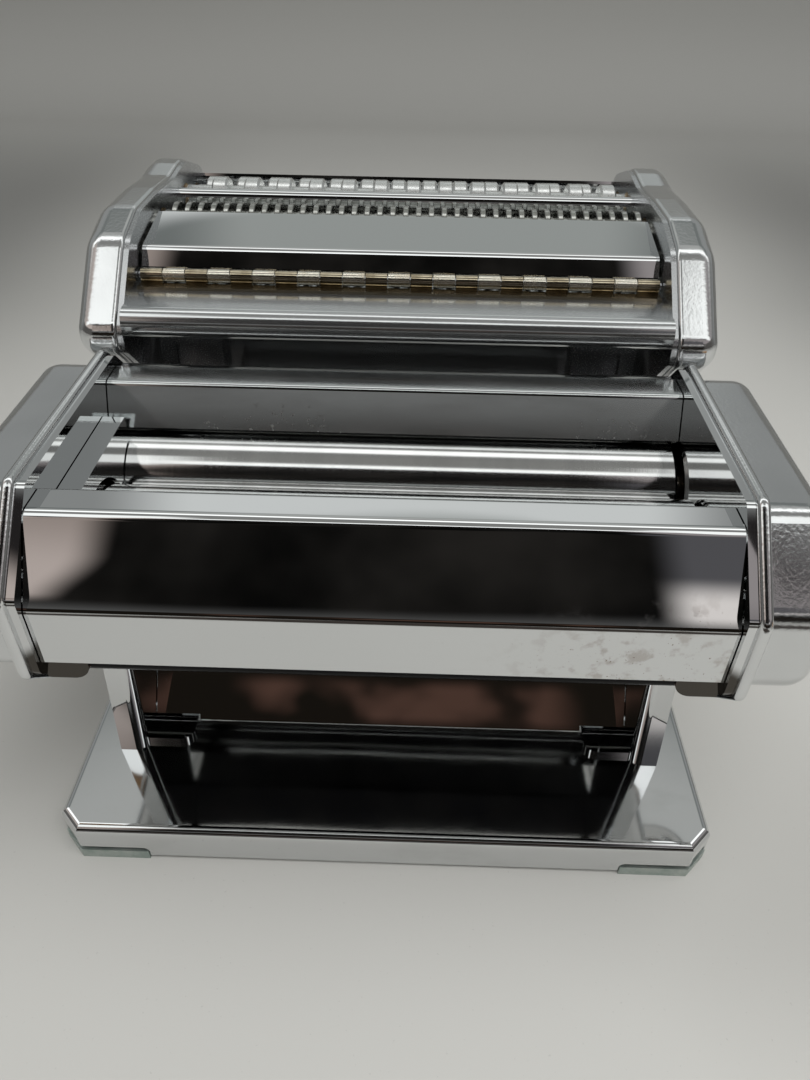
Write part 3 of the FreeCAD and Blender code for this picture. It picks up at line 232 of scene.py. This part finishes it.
def sweep_mesh(bm):
    curve_start = SWEEP_REAR - SWEEP_CURVE
    points = [(SWEEP_FRONT, 0.0), (curve_start, 0.0)]
    for i in range(1, SWEEP_CURVE_STEPS + 1):
        angle = math.pi / 2 * i / SWEEP_CURVE_STEPS
        points.append((curve_start + SWEEP_CURVE * math.sin(angle), SWEEP_CURVE * (1 - math.cos(angle))))
    points.append((SWEEP_REAR, SWEEP_TOP))
    line = [bm.verts.new((-SWEEP_HALF_WIDTH, y, z)) for y, z in points]
    edges = [bm.edges.new(pair) for pair in zip(line, line[1:])]
    spread = bmesh.ops.extrude_edge_only(bm, edges=edges)
    moved = [item for item in spread["geom"] if isinstance(item, bmesh.types.BMVert)]
    bmesh.ops.translate(bm, verts=moved, vec=(2 * SWEEP_HALF_WIDTH, 0, 0))
    bmesh.ops.recalc_face_normals(bm, faces=bm.faces)


def set_sweep():
    sweep = new_object("sweep", sweep_mesh, new_material("pale_sweep", pale_sweep), SWEEP_SMOOTH_ANGLE)


# Lamp over the machine; the metal doesn't mirror it

LAMP_PLACE = Vector((0.22, -0.26, 0.85))
LAMP_AIM = Vector((0.08, -0.14, 0.0))
LAMP_SIZE = (0.9, 0.55)
LAMP_POWER = 7.2


def set_lamp():
    data = bpy.data.lights.new("overhead", "AREA")
    data.shape = "RECTANGLE"
    data.size, data.size_y = LAMP_SIZE
    data.energy = LAMP_POWER
    lamp = bpy.data.objects.new("overhead", data)
    lamp.location = LAMP_PLACE
    lamp.rotation_mode = "QUATERNION"
    lamp.rotation_quaternion = (LAMP_AIM - LAMP_PLACE).to_track_quat("-Z", "Y")
    lamp.visible_glossy = False
    bpy.context.scene.collection.objects.link(lamp)


# Glowing card in front of the machine, painted with the reflections that the metal shows; sizes in metres, pairs
# say where a tone starts and ends

CARD_Y = -0.45
CARD_HALF_WIDTH = 0.36
CARD_LOW = 0.10
CARD_HIGH = 0.98
CARD_TONES = ((0.003, 0.003, 0.0028, 1), (0.022, 0.020, 0.018, 1))
BAND_TONES = ((0.07, 0.07, 0.068, 1), (0.22, 0.22, 0.217, 1))
BAND_CHANGE = (0.250, 0.280)
BAND_TOP = (0.318, 0.295)
FOOT_TONE = (0.010, 0.008, 0.006, 1)
FOOT_TOP = (0.254, 0.246)
WARM_TONE = (0.085, 0.046, 0.034, 1)
WARM_WIDTH = (0.17, 0.12)
WARM_BOTTOM = (0.190, 0.205)
WARM_TOP = (0.244, 0.228)
LEFT_ROOM = (0.56, 0.48, 0.44, 1)
DIM_LEFT_ROOM = (0.36, 0.30, 0.27, 1)
LEFT_EDGE = (-0.232, -0.275)
LEFT_BOTTOM = (0.312, 0.322)
LEFT_DIMMING = (0.34, 0.40)
LEFT_LOW_SHIFT = (0.31, 0.36, 0.03, 0.0)
LEFT_HIGH_SHIFT = (0.45, 0.60, 0.0, 0.055)
RIGHT_TONES = ((0.85, 0.80, 0.77, 1), (0.10, 0.098, 0.105, 1))
RIGHT_EDGE = (0.190, 0.228)
RIGHT_BOTTOM = (0.305, 0.318)
RIGHT_TOP = (0.60, 0.50)
RIGHT_DIMMING = (0.328, 0.352)
RIGHT_ROOM = (0.34, 0.31, 0.31, 1)
FAR_RIGHT_EDGE = (0.235, 0.280)
FAR_RIGHT_BOTTOM = (0.50, 0.60)


def card_tones(t):
    """Painted reflection: dark card over a grey band and a warm patch, pale at both edges."""
    x = t.axes()["X"]
    z = t.axes()["Z"]
    colour = t.mix(t.ramp(t.noise(scale=7.0), 0.35, 0.75), *CARD_TONES)
    colour = t.mix(t.ramp(z, *BAND_TOP), colour, t.mix(t.ramp(z, *BAND_CHANGE), *BAND_TONES))
    colour = t.mix(t.ramp(z, *FOOT_TOP), colour, FOOT_TONE)
    warm = t.both(t.ramp(z, *WARM_BOTTOM), t.ramp(z, *WARM_TOP))
    warm = t.both(t.ramp(t.math("ABSOLUTE", x), *WARM_WIDTH), warm)
    warm = t.both(warm, t.ramp(t.noise(scale=13.0, detail=2.0), 0.36, 0.58))
    colour = t.mix(warm, colour, WARM_TONE)
    shift = t.math("ADD", t.ramp(z, *LEFT_LOW_SHIFT), t.ramp(z, *LEFT_HIGH_SHIFT))
    left = t.both(t.ramp(t.math("ADD", x, shift), *LEFT_EDGE), t.ramp(z, *LEFT_BOTTOM))
    colour = t.mix(left, colour, t.mix(t.ramp(z, *LEFT_DIMMING), LEFT_ROOM, DIM_LEFT_ROOM))
    right = t.both(t.ramp(x, *RIGHT_EDGE), t.ramp(z, *RIGHT_BOTTOM))
    right = t.both(right, t.ramp(z, *RIGHT_TOP))
    colour = t.mix(right, colour, t.mix(t.ramp(z, *RIGHT_DIMMING), *RIGHT_TONES))
    far_right = t.both(t.ramp(x, *FAR_RIGHT_EDGE), t.ramp(z, *FAR_RIGHT_BOTTOM))
    colour = t.mix(far_right, colour, RIGHT_ROOM)
    return t.add("ShaderNodeEmission", {"Color": colour, "Strength": 1.0})


def card_mesh(bm):
    corners = [(-CARD_HALF_WIDTH, CARD_LOW), (CARD_HALF_WIDTH, CARD_LOW),
               (CARD_HALF_WIDTH, CARD_HIGH), (-CARD_HALF_WIDTH, CARD_HIGH)]
    bm.faces.new([bm.verts.new((x, CARD_Y, z)) for x, z in corners])


def set_card():
    """Card that the camera doesn't see and that casts no shadow; the metal mirrors it."""
    card = new_object("viewer_card", card_mesh, new_material("viewer_card", card_tones))
    card.visible_camera = False
    card.visible_shadow = False


# Room that the metal mirrors; angles in degrees, pairs say where a tone starts and ends

REAR_TONES = ((0.40, 0.42, 0.41, 1), (0.74, 0.76, 0.75, 1))
REAR_CHANGE = (27.0, 33.0)
REAR_FLANK = (0.30, 0.31, 0.305, 1)
REAR_FLANK_EDGE = (15.0, 22.0)
FLAP_SKY_TONES = ((0.37, 0.39, 0.375, 1), (0.19, 0.205, 0.20, 1))
FLAP_SKY_EDGE = (11.0, 17.0)
FLAP_SKY_START = (35.9, 37.0)
UPPER_REAR = (0.46, 0.47, 0.455, 1)
UPPER_REAR_START = (43.0, 52.0)
CEILING = (0.24, 0.24, 0.235, 1)
CEILING_START = (58.0, 64.0)
LEFT_TO_RIGHT = (-10.0, 10.0)
LOW_SIDES = (0.10, 0.095, 0.09, 1)
LOW_SIDES_TOP = (27.0, 24.5)
HIGH_SIDES = (0.26, 0.26, 0.25, 1)
HIGH_SIDES_START = (50.0, 58.0)
SHOULDER = (0.02, 0.018, 0.018, 1)
SHOULDER_INNER = (27.5, 31.0)
SHOULDER_OUTER = (62.0, 50.0)
SHOULDER_BOTTOM = (42.5, 45.0)
SHOULDER_TOP = (64.0, 58.0)
SIDES_TO_REAR = (70.0, 130.0)
BAR_END = (62.0, 45.0)
REAR_BAR = (70.0, 77.0, 5.0)
REAR_BAR_LIGHT = (1.6, 1.62, 1.6, 1)
FRONT_BAR = (113.0, 120.0, 5.0)
FRONT_BAR_LIGHT = (1.5, 1.52, 1.5, 1)
WIDE_BAR = (101.0, 118.0, 4.0)
WIDE_BAR_START = (14.0, 18.0)
WIDE_BAR_LIGHT = (1.3, 1.32, 1.3, 1)
SOFT_LIGHT = (0.43, 0.43, 0.425, 1)
BACKDROP = (0.36, 0.365, 0.355, 1)


def room_tones(t):
    """Colour of the room in each direction: pale behind, two lamp bars above that widen to both sides."""
    way = t.add("ShaderNodeTexCoord").outputs["Generated"]
    x, y, z = t.add("ShaderNodeSeparateXYZ", {"Vector": way}).outputs
    side = t.math("ARCTAN2", x, t.both(y, -1.0))
    wide = t.math("ABSOLUTE", side)
    rise = t.math("ARCSINE", z)
    over = t.math("ARCTAN2", z, y)
    lean = t.math("ABSOLUTE", t.math("ARCSINE", x))

    def span(value, limits):
        return t.ramp(value, *[math.radians(limit) for limit in limits])

    def bar(low, high, soft):
        """Lamp bar along X between two angles over the machine, counted from the back."""
        across = t.both(span(over, (low - soft, low)), span(over, (high + soft, high)))
        return t.both(across, span(lean, BAR_END))

    rear = t.mix(span(rise, REAR_CHANGE), *REAR_TONES)
    rear = t.mix(span(lean, REAR_FLANK_EDGE), rear, REAR_FLANK)
    rear = t.mix(span(rise, FLAP_SKY_START), rear, t.mix(span(lean, FLAP_SKY_EDGE), *FLAP_SKY_TONES))
    rear = t.mix(span(rise, UPPER_REAR_START), rear, UPPER_REAR)
    rear = t.mix(span(rise, CEILING_START), rear, CEILING)
    sides = t.mix(span(side, LEFT_TO_RIGHT), LEFT_ROOM, RIGHT_ROOM)
    sides = t.mix(span(rise, LOW_SIDES_TOP), sides, LOW_SIDES)
    sides = t.mix(span(rise, HIGH_SIDES_START), sides, HIGH_SIDES)
    shoulder = t.both(t.both(span(wide, SHOULDER_INNER), span(wide, SHOULDER_OUTER)),
                      t.both(span(rise, SHOULDER_BOTTOM), span(rise, SHOULDER_TOP)))
    sides = t.mix(shoulder, sides, SHOULDER)
    room = t.mix(span(wide, SIDES_TO_REAR), sides, rear)
    room = t.mix(bar(*REAR_BAR), room, REAR_BAR_LIGHT)
    room = t.mix(bar(*FRONT_BAR), room, FRONT_BAR_LIGHT)
    return t.mix(t.both(bar(*WIDE_BAR), span(lean, WIDE_BAR_START)), room, WIDE_BAR_LIGHT)


def set_world():
    """Metal mirrors the room, dull surfaces get an even light and the camera sees a plain backdrop."""
    world = bpy.data.worlds.new("grey_room")
    bpy.context.scene.world = world
    world.use_nodes = True
    t = Tree(world.node_tree)
    path = t.add("ShaderNodeLightPath")
    mirrored = t.add("ShaderNodeBackground", {"Color": room_tones(t), "Strength": 1.0})
    soft = t.add("ShaderNodeBackground", {"Color": SOFT_LIGHT, "Strength": 1.0})
    behind = t.add("ShaderNodeBackground", {"Color": BACKDROP, "Strength": 1.0})
    lit = t.add("ShaderNodeMixShader", {"Fac": path.outputs["Is Diffuse Ray"]})
    t.put(lit.inputs[1], mirrored.outputs[0])
    t.put(lit.inputs[2], soft.outputs[0])
    seen = t.add("ShaderNodeMixShader", {"Fac": path.outputs["Is Camera Ray"]})
    t.put(seen.inputs[1], lit.outputs[0])
    t.put(seen.inputs[2], behind.outputs[0])
    t.add("ShaderNodeOutputWorld", {"Surface": seen.outputs[0]})


# Finishes: shares of a noise's range over which a finish changes, and tones that finishes share

MIDDLE = (0.3, 0.7)
MIDDLE_UP = (0.3, 0.75)
NARROW = (0.35, 0.65)
NARROW_UP = (0.35, 0.7)
SMEARED = (0.55, 0.85)
CHROME = (0.70, 0.71, 0.715, 1)
WAVE_HEIGHT = 0.6 * MM
GRAIN_HEIGHT = 0.01 * MM
PITTING_HEIGHT = 0.02 * MM
FAINT = 0.2


def chrome_skin(t, strength=0.25):
    """Slow waves that plating over pressed sheet shows in its reflections."""
    return t.bump(t.noise(scale=22.0, detail=1.0, stretch=(0.5, 1, 1)), WAVE_HEIGHT, strength)


def smears(t):
    """Streaks along X left by a cloth."""
    return t.noise(scale=55.0, detail=4.0, stretch=(0.4, 1, 1), rough=0.6)


def metal(t, colour, rough, skin=None, metallic=1.0):
    shader = t.add("ShaderNodeBsdfPrincipled", {"Base Color": colour, "Metallic": metallic, "Roughness": rough})
    if skin is not None:
        t.put(shader.inputs["Normal"], skin)
    return shader


def polished_chrome(t):
    smear = smears(t)
    dust = t.noise(scale=2600.0, detail=2.0)
    smeared_chrome = (0.65, 0.66, 0.66, 1)
    colour = t.mix(t.ramp(smear, 0.58, 0.78, 0.0, 0.4), CHROME, smeared_chrome)
    rough = t.math("ADD", t.ramp(smear, *SMEARED, 0.022, 0.06), t.ramp(dust, 0.72, 0.80, 0.0, 0.05))
    return metal(t, colour, rough, chrome_skin(t))


def wavy_chrome(t):
    """Base plate: thin sheet whose plating waves more and is scuffed by flour."""
    scuff = t.noise(scale=70.0, detail=4.0, stretch=(0.5, 1, 1), rough=0.6)
    clean, scuffed = (0.69, 0.70, 0.705, 1), (0.64, 0.65, 0.65, 1)
    colour = t.mix(t.ramp(scuff, 0.5, 0.75), clean, scuffed)
    rough = t.ramp(scuff, 0.3, 0.8, 0.05, 0.10)
    return metal(t, colour, rough, chrome_skin(t, strength=0.55))


TAB_X = 68.0 * MM
TAB_Y = -45.5 * MM
TAB_Z = 86.5 * MM
TAB_REACH = 16.0 * MM
TAB_STRETCH = (0.75, 1, 1)


def side_chrome(t):
    """Side plate, with the tabs under the ends of the front cover coloured dark as painted shade."""
    left_tab = t.near((-TAB_X, TAB_Y, TAB_Z), TAB_REACH, TAB_STRETCH)
    right_tab = t.near((TAB_X, TAB_Y, TAB_Z), TAB_REACH, TAB_STRETCH)
    # Painted shade: dark colour on the tabs under the ends of the front cover
    dark_patch = (0.075, 0.068, 0.06, 1)
    colour = t.mix(t.ramp(t.math("ADD", left_tab, right_tab), 0.1, 0.45), CHROME, dark_patch)
    rough = t.ramp(smears(t), *SMEARED, 0.03, 0.07)
    return metal(t, colour, rough, chrome_skin(t))


STAIN_PLACE = Vector((58.0, -47.6, 94.0)) * MM
STAIN_REACH = 36.0 * MM
STAIN_STRETCH = (0.9, 1, 1.5)
MARK_SHARE = 0.55
MARK_ROUGH = 0.14
RUST_SHARE = 0.8


def front_chrome(t):
    """Polished cover with dried water marks and rust specks at the right end of its upright facet."""
    stained = t.near(STAIN_PLACE, STAIN_REACH, STAIN_STRETCH)
    mark = t.both(stained, t.ramp(t.noise(scale=300.0, detail=6.0), 0.50, 0.66))
    rust = t.both(stained, t.ramp(t.noise(scale=1500.0, detail=2.0), 0.70, 0.76))
    marked, rusted = (0.40, 0.36, 0.33, 1), (0.20, 0.13, 0.09, 1)
    colour = t.mix(t.both(mark, MARK_SHARE), CHROME, marked)
    colour = t.mix(t.both(rust, RUST_SHARE), colour, rusted)
    rough = t.math("ADD", t.ramp(smears(t), *SMEARED, 0.022, 0.055), t.both(mark, MARK_ROUGH))
    return metal(t, colour, rough, chrome_skin(t))


LEFT_SPOTS = Vector((-33.0, 18.0, 113.5)) * MM
LEFT_SPOTS_REACH = 30.0 * MM
LEFT_SPOTS_STRETCH = (0.9, 1, 3.2)
RIGHT_SPOTS = Vector((60.0, 18.0, 115.0)) * MM
RIGHT_SPOTS_REACH = 20.0 * MM
RIGHT_SPOTS_STRETCH = (0.9, 1, 3.0)
SPOT_ROUGH = 0.25


def worn_chrome(t):
    """Dough plate: wiped dull, with pale spots along its lower edge."""
    wipe = t.noise(scale=70.0, detail=5.0, stretch=(0.25, 1, 1), rough=0.65)
    low_edge = t.math("ADD", t.near(LEFT_SPOTS, LEFT_SPOTS_REACH, LEFT_SPOTS_STRETCH),
                      t.near(RIGHT_SPOTS, RIGHT_SPOTS_REACH, RIGHT_SPOTS_STRETCH))
    spotted = t.both(low_edge, t.ramp(t.noise(scale=900.0, detail=4.0), 0.60, 0.70))
    wiped, pale = (0.62, 0.64, 0.64, 1), (0.74, 0.76, 0.75, 1)
    rough = t.math("ADD", t.ramp(wipe, *MIDDLE_UP, 0.09, 0.17), t.both(spotted, SPOT_ROUGH))
    return metal(t, t.mix(spotted, wiped, pale), rough, chrome_skin(t, strength=0.15))


PEEL_HEIGHT = 0.05 * MM


def satin_chrome(t):
    """Plating over a pressing that was not ground, with a fine orange peel."""
    peel = t.noise(scale=1100.0, detail=2.0)
    cloud = t.noise(scale=40.0)
    bright, cloudy = (0.72, 0.73, 0.735, 1), (0.66, 0.67, 0.675, 1)
    colour = t.mix(t.ramp(cloud, *NARROW_UP), bright, cloudy)
    rough = t.ramp(cloud, *MIDDLE_UP, 0.10, 0.16)
    return metal(t, colour, rough, t.bump(peel, PEEL_HEIGHT, 0.5, chrome_skin(t, strength=0.2)))


def wiped_chrome(t):
    """Cutter front plate, dulled by wiping so that the hinge is only dimly seen in it."""
    wipe = t.noise(scale=80.0, detail=4.0, stretch=(0.2, 1, 1), rough=0.6)
    clean, wiped = (0.66, 0.675, 0.68, 1), (0.60, 0.615, 0.62, 1)
    colour = t.mix(t.ramp(wipe, *MIDDLE), clean, wiped)
    rough = t.ramp(wipe, *MIDDLE_UP, 0.11, 0.17)
    return metal(t, colour, rough, chrome_skin(t, strength=0.15), metallic=0.96)


RING_HEIGHT = 0.012 * MM


def ground_steel(t):
    """Turned rollers: fine rings and slow bands round the X axis."""
    rings = t.noise(scale=5200.0, detail=2.0, stretch=(1, 0.004, 0.004))
    bands = t.noise(scale=120.0, detail=2.0, stretch=(1, 0.01, 0.01))
    bright, dull = (0.70, 0.705, 0.70, 1), (0.64, 0.645, 0.64, 1)
    colour = t.mix(t.ramp(bands, *MIDDLE), bright, dull)
    rough = t.ramp(rings, *MIDDLE, 0.09, 0.13)
    return metal(t, colour, rough, t.bump(rings, RING_HEIGHT, 0.3))


def disc_steel(t, bright, worn_dull, smoothest, roughest):
    worn = t.noise(scale=600.0)
    colour = t.mix(t.ramp(worn, *MIDDLE), bright, worn_dull)
    rough = t.ramp(worn, *MIDDLE_UP, smoothest, roughest)
    return metal(t, colour, rough, t.bump(worn, GRAIN_HEIGHT, FAINT))


def cutter_steel(t):
    return disc_steel(t, (0.84, 0.85, 0.84, 1), (0.76, 0.77, 0.76, 1), 0.24, 0.34)


def shaded_narrow_steel(t):
    """Narrow discs, coloured darker than the wide ones as painted shade for the dark gaps between them."""
    # Painted shade: darker tones than the wide discs
    return disc_steel(t, (0.50, 0.505, 0.48, 1), (0.36, 0.36, 0.335, 1), 0.14, 0.22)


def plated_steel(t):
    cloud = t.noise(scale=60.0)
    grain = t.noise(scale=3200.0, detail=2.0)
    bright, cloudy = (0.60, 0.61, 0.62, 1), (0.54, 0.55, 0.56, 1)
    colour = t.mix(t.ramp(cloud, *MIDDLE), bright, cloudy)
    rough = t.ramp(grain, *MIDDLE, 0.20, 0.28)
    return metal(t, colour, rough, t.bump(grain, GRAIN_HEIGHT, FAINT))


def blued_steel(t):
    oil = t.noise(scale=90.0)
    blued, oiled = (0.008, 0.008, 0.009, 1), (0.014, 0.0135, 0.014, 1)
    colour = t.mix(t.ramp(oil, *MIDDLE), blued, oiled)
    rough = t.ramp(oil, *MIDDLE, 0.30, 0.42)
    return metal(t, colour, rough, t.bump(oil, PITTING_HEIGHT, FAINT))


def gear_steel(t):
    dark_patch = t.noise(scale=240.0)
    bare, greased = (0.40, 0.40, 0.395, 1), (0.24, 0.22, 0.19, 1)
    colour = t.mix(t.ramp(dark_patch, *NARROW), bare, greased)
    return metal(t, colour, t.ramp(dark_patch, *MIDDLE, 0.22, 0.42))


def bearing_bronze(t):
    tarnish = t.noise(scale=300.0)
    bright, tarnished = (0.60, 0.42, 0.22, 1), (0.44, 0.29, 0.15, 1)
    colour = t.mix(t.ramp(tarnish, *NARROW), bright, tarnished)
    return metal(t, colour, t.ramp(tarnish, *MIDDLE, 0.25, 0.42))


def leaf_nickel(t, change, bright, tarnished, smoothest, roughest):
    tarnish = t.noise(scale=260.0, detail=4.0)
    colour = t.mix(t.ramp(tarnish, *change), bright, tarnished)
    rough = t.ramp(tarnish, *MIDDLE_UP, smoothest, roughest)
    return metal(t, colour, rough, t.bump(t.noise(scale=900.0, detail=2.0), PITTING_HEIGHT, FAINT))


def hinge_nickel(t):
    return leaf_nickel(t, (0.4, 0.75), (0.88, 0.84, 0.73, 1), (0.78, 0.70, 0.55, 1), 0.20, 0.30)


def shaded_tarnished_nickel(t):
    """Leaf between the brighter knuckles, its nickel coloured darker and browner as painted shade, with a little
    random tarnish.
    """
    # Painted shade: darker tones than hinge_nickel, the same metal
    return leaf_nickel(t, NARROW_UP, (0.58, 0.51, 0.38, 1), (0.38, 0.32, 0.22, 1), 0.12, 0.20)


CAST_HEIGHT = 0.08 * MM


def passivated_zinc(t):
    bloom = t.noise(scale=150.0, detail=4.0)
    cast = t.noise(scale=900.0)
    bright, bloomed = (0.50, 0.55, 0.52, 1), (0.36, 0.43, 0.40, 1)
    colour = t.mix(t.ramp(bloom, *NARROW), bright, bloomed)
    rough = t.ramp(cast, *MIDDLE, 0.35, 0.55)
    return metal(t, colour, rough, t.bump(cast, CAST_HEIGHT, 0.4), metallic=0.85)


def dial_aluminium(t):
    brushed = t.noise(scale=900.0, detail=2.0, stretch=(1, 0.04, 1))
    bright, dull = (0.74, 0.75, 0.76, 1), (0.62, 0.63, 0.64, 1)
    colour = t.mix(t.ramp(brushed, *MIDDLE), bright, dull)
    return metal(t, colour, t.ramp(brushed, *MIDDLE, 0.24, 0.40))


PORE_HEIGHT = 0.1 * MM


def turned_wood(t):
    grain = t.noise(scale=60.0, detail=5.0, stretch=(0.10, 1, 1), rough=0.6)
    pores = t.noise(scale=420.0, stretch=(0.05, 1, 1))
    early_wood, late_wood, pore = (0.56, 0.33, 0.15, 1), (0.34, 0.17, 0.07, 1), (0.20, 0.09, 0.035, 1)
    colour = t.mix(t.ramp(grain, 0.35, 0.68), early_wood, late_wood)
    colour = t.mix(t.ramp(pores, 0.60, 0.72, 0.0, 0.6), colour, pore)
    rough = t.ramp(grain, *MIDDLE, 0.30, 0.45)
    return t.add("ShaderNodeBsdfPrincipled", {"Base Color": colour, "Roughness": rough,
                                              "Normal": t.bump(pores, PORE_HEIGHT, 0.3),
                                              "Coat Weight": 0.35, "Coat Roughness": 0.2})


def figure_ink(t):
    wear = t.noise(scale=2500.0, detail=2.0)
    fresh, faded = (0.015, 0.015, 0.017, 1), (0.05, 0.05, 0.052, 1)
    colour = t.mix(t.ramp(wear, 0.4, 0.7), fresh, faded)
    return t.add("ShaderNodeBsdfPrincipled", {"Base Color": colour, "Roughness": 0.5})


MAKERS = (polished_chrome, wavy_chrome, side_chrome, front_chrome, worn_chrome, satin_chrome, wiped_chrome,
          ground_steel, cutter_steel, shaded_narrow_steel, plated_steel, blued_steel, gear_steel, bearing_bronze,
          hinge_nickel, shaded_tarnished_nickel, passivated_zinc, dial_aluminium, turned_wood, figure_ink)
FINISHES = {maker.__name__: new_material(maker.__name__, maker) for maker in MAKERS}
OWN_FINISH = {"base_plate": "wavy_chrome", "left_side_plate": "side_chrome", "right_side_plate": "side_chrome",
              "front_cover": "front_chrome", "dough_plate": "worn_chrome", "narrow_drive_cutter": "shaded_narrow_steel",
              "narrow_partner_cutter": "shaded_narrow_steel", "wide_drive_cutter": "cutter_steel",
              "wide_partner_cutter": "cutter_steel", "cutter_front_plate": "wiped_chrome",
              "hinge_fixed_leaf": "shaded_tarnished_nickel"}


def dress_nodes():
    """Each CAD node gets its own finish, or else the one that its material slot names."""
    for part in frame["record"]["subparts"]:
        mesh = nodes[part["node"]].data
        finish = OWN_FINISH.get(part["node"], part["material_slot"])
        mesh.materials.clear()
        mesh.materials.append(FINISHES[finish])


# Thickness dial: figures and the mark that they are set to

FIGURE_COUNT = 6
FIGURE_HEIGHT = 3.4 * MM
FIGURE_FONT_SHARE = 0.7
FIGURE_CIRCLE = 12.8 * MM
FIGURE_STEP = math.radians(20.0)
INK_DEPTH = 0.1 * MM
MARK_WIDTH = 0.9 * MM
MARK_LENGTH = 2.6 * MM
MARK_GAP = 0.7 * MM


def figure_mesh(digit):
    """Flat figure of about FIGURE_HEIGHT round the origin, with a little depth."""
    curve = bpy.data.curves.new("figure", "FONT")
    curve.body = digit
    curve.size = FIGURE_HEIGHT / FIGURE_FONT_SHARE
    curve.extrude = INK_DEPTH / 2
    curve.align_x = "CENTER"
    curve.align_y = "CENTER"
    holder = bpy.data.objects.new("figure", curve)
    bpy.context.scene.collection.objects.link(holder)
    mesh = bpy.data.meshes.new_from_object(holder.evaluated_get(bpy.context.evaluated_depsgraph_get()))
    bpy.data.objects.remove(holder)
    bpy.data.curves.remove(curve)
    return mesh


def add_dial_figures():
    """Figures on the dial's outer face, spread evenly about its top."""
    low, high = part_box("thickness_dial")
    centre = (low + high) / 2
    for i in range(FIGURE_COUNT):
        angle = FIGURE_STEP * (i - (FIGURE_COUNT - 1) / 2)
        right = Vector((0, -math.cos(angle), -math.sin(angle)))
        up = Vector((0, -math.sin(angle), math.cos(angle)))
        place = Vector((low.x, centre.y, centre.z)) + up * FIGURE_CIRCLE
        turn = Matrix((right, up, right.cross(up))).transposed().to_4x4()
        mesh = figure_mesh(str(i + 1))
        mesh.transform(Matrix.Translation(place) @ turn)
        mesh.materials.clear()
        mesh.materials.append(FINISHES["figure_ink"])
        figure = bpy.data.objects.new("dial_figure_" + str(i + 1), mesh)
        bpy.context.scene.collection.objects.link(figure)
        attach(figure, "adjuster")


def add_index_mark():
    """Upright bar on the left end cover, just above the dial."""
    cover_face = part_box("left_end_cover")[0].x
    low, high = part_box("thickness_dial")
    centre = Vector((cover_face, (low.y + high.y) / 2, high.z + MARK_GAP + MARK_LENGTH / 2))

    def block(bm):
        bmesh.ops.create_cube(bm, size=1.0)
        bmesh.ops.scale(bm, vec=(INK_DEPTH, MARK_WIDTH, MARK_LENGTH), verts=bm.verts)
        bmesh.ops.translate(bm, vec=centre, verts=bm.verts)

    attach(new_object("index_mark", block, FINISHES["figure_ink"]), "frame")


set_camera()
set_sweep()
set_card()
set_lamp()
set_world()
dress_nodes()
add_dial_figures()
add_index_mark()
bpy.context.scene.view_settings.view_transform = "Standard"
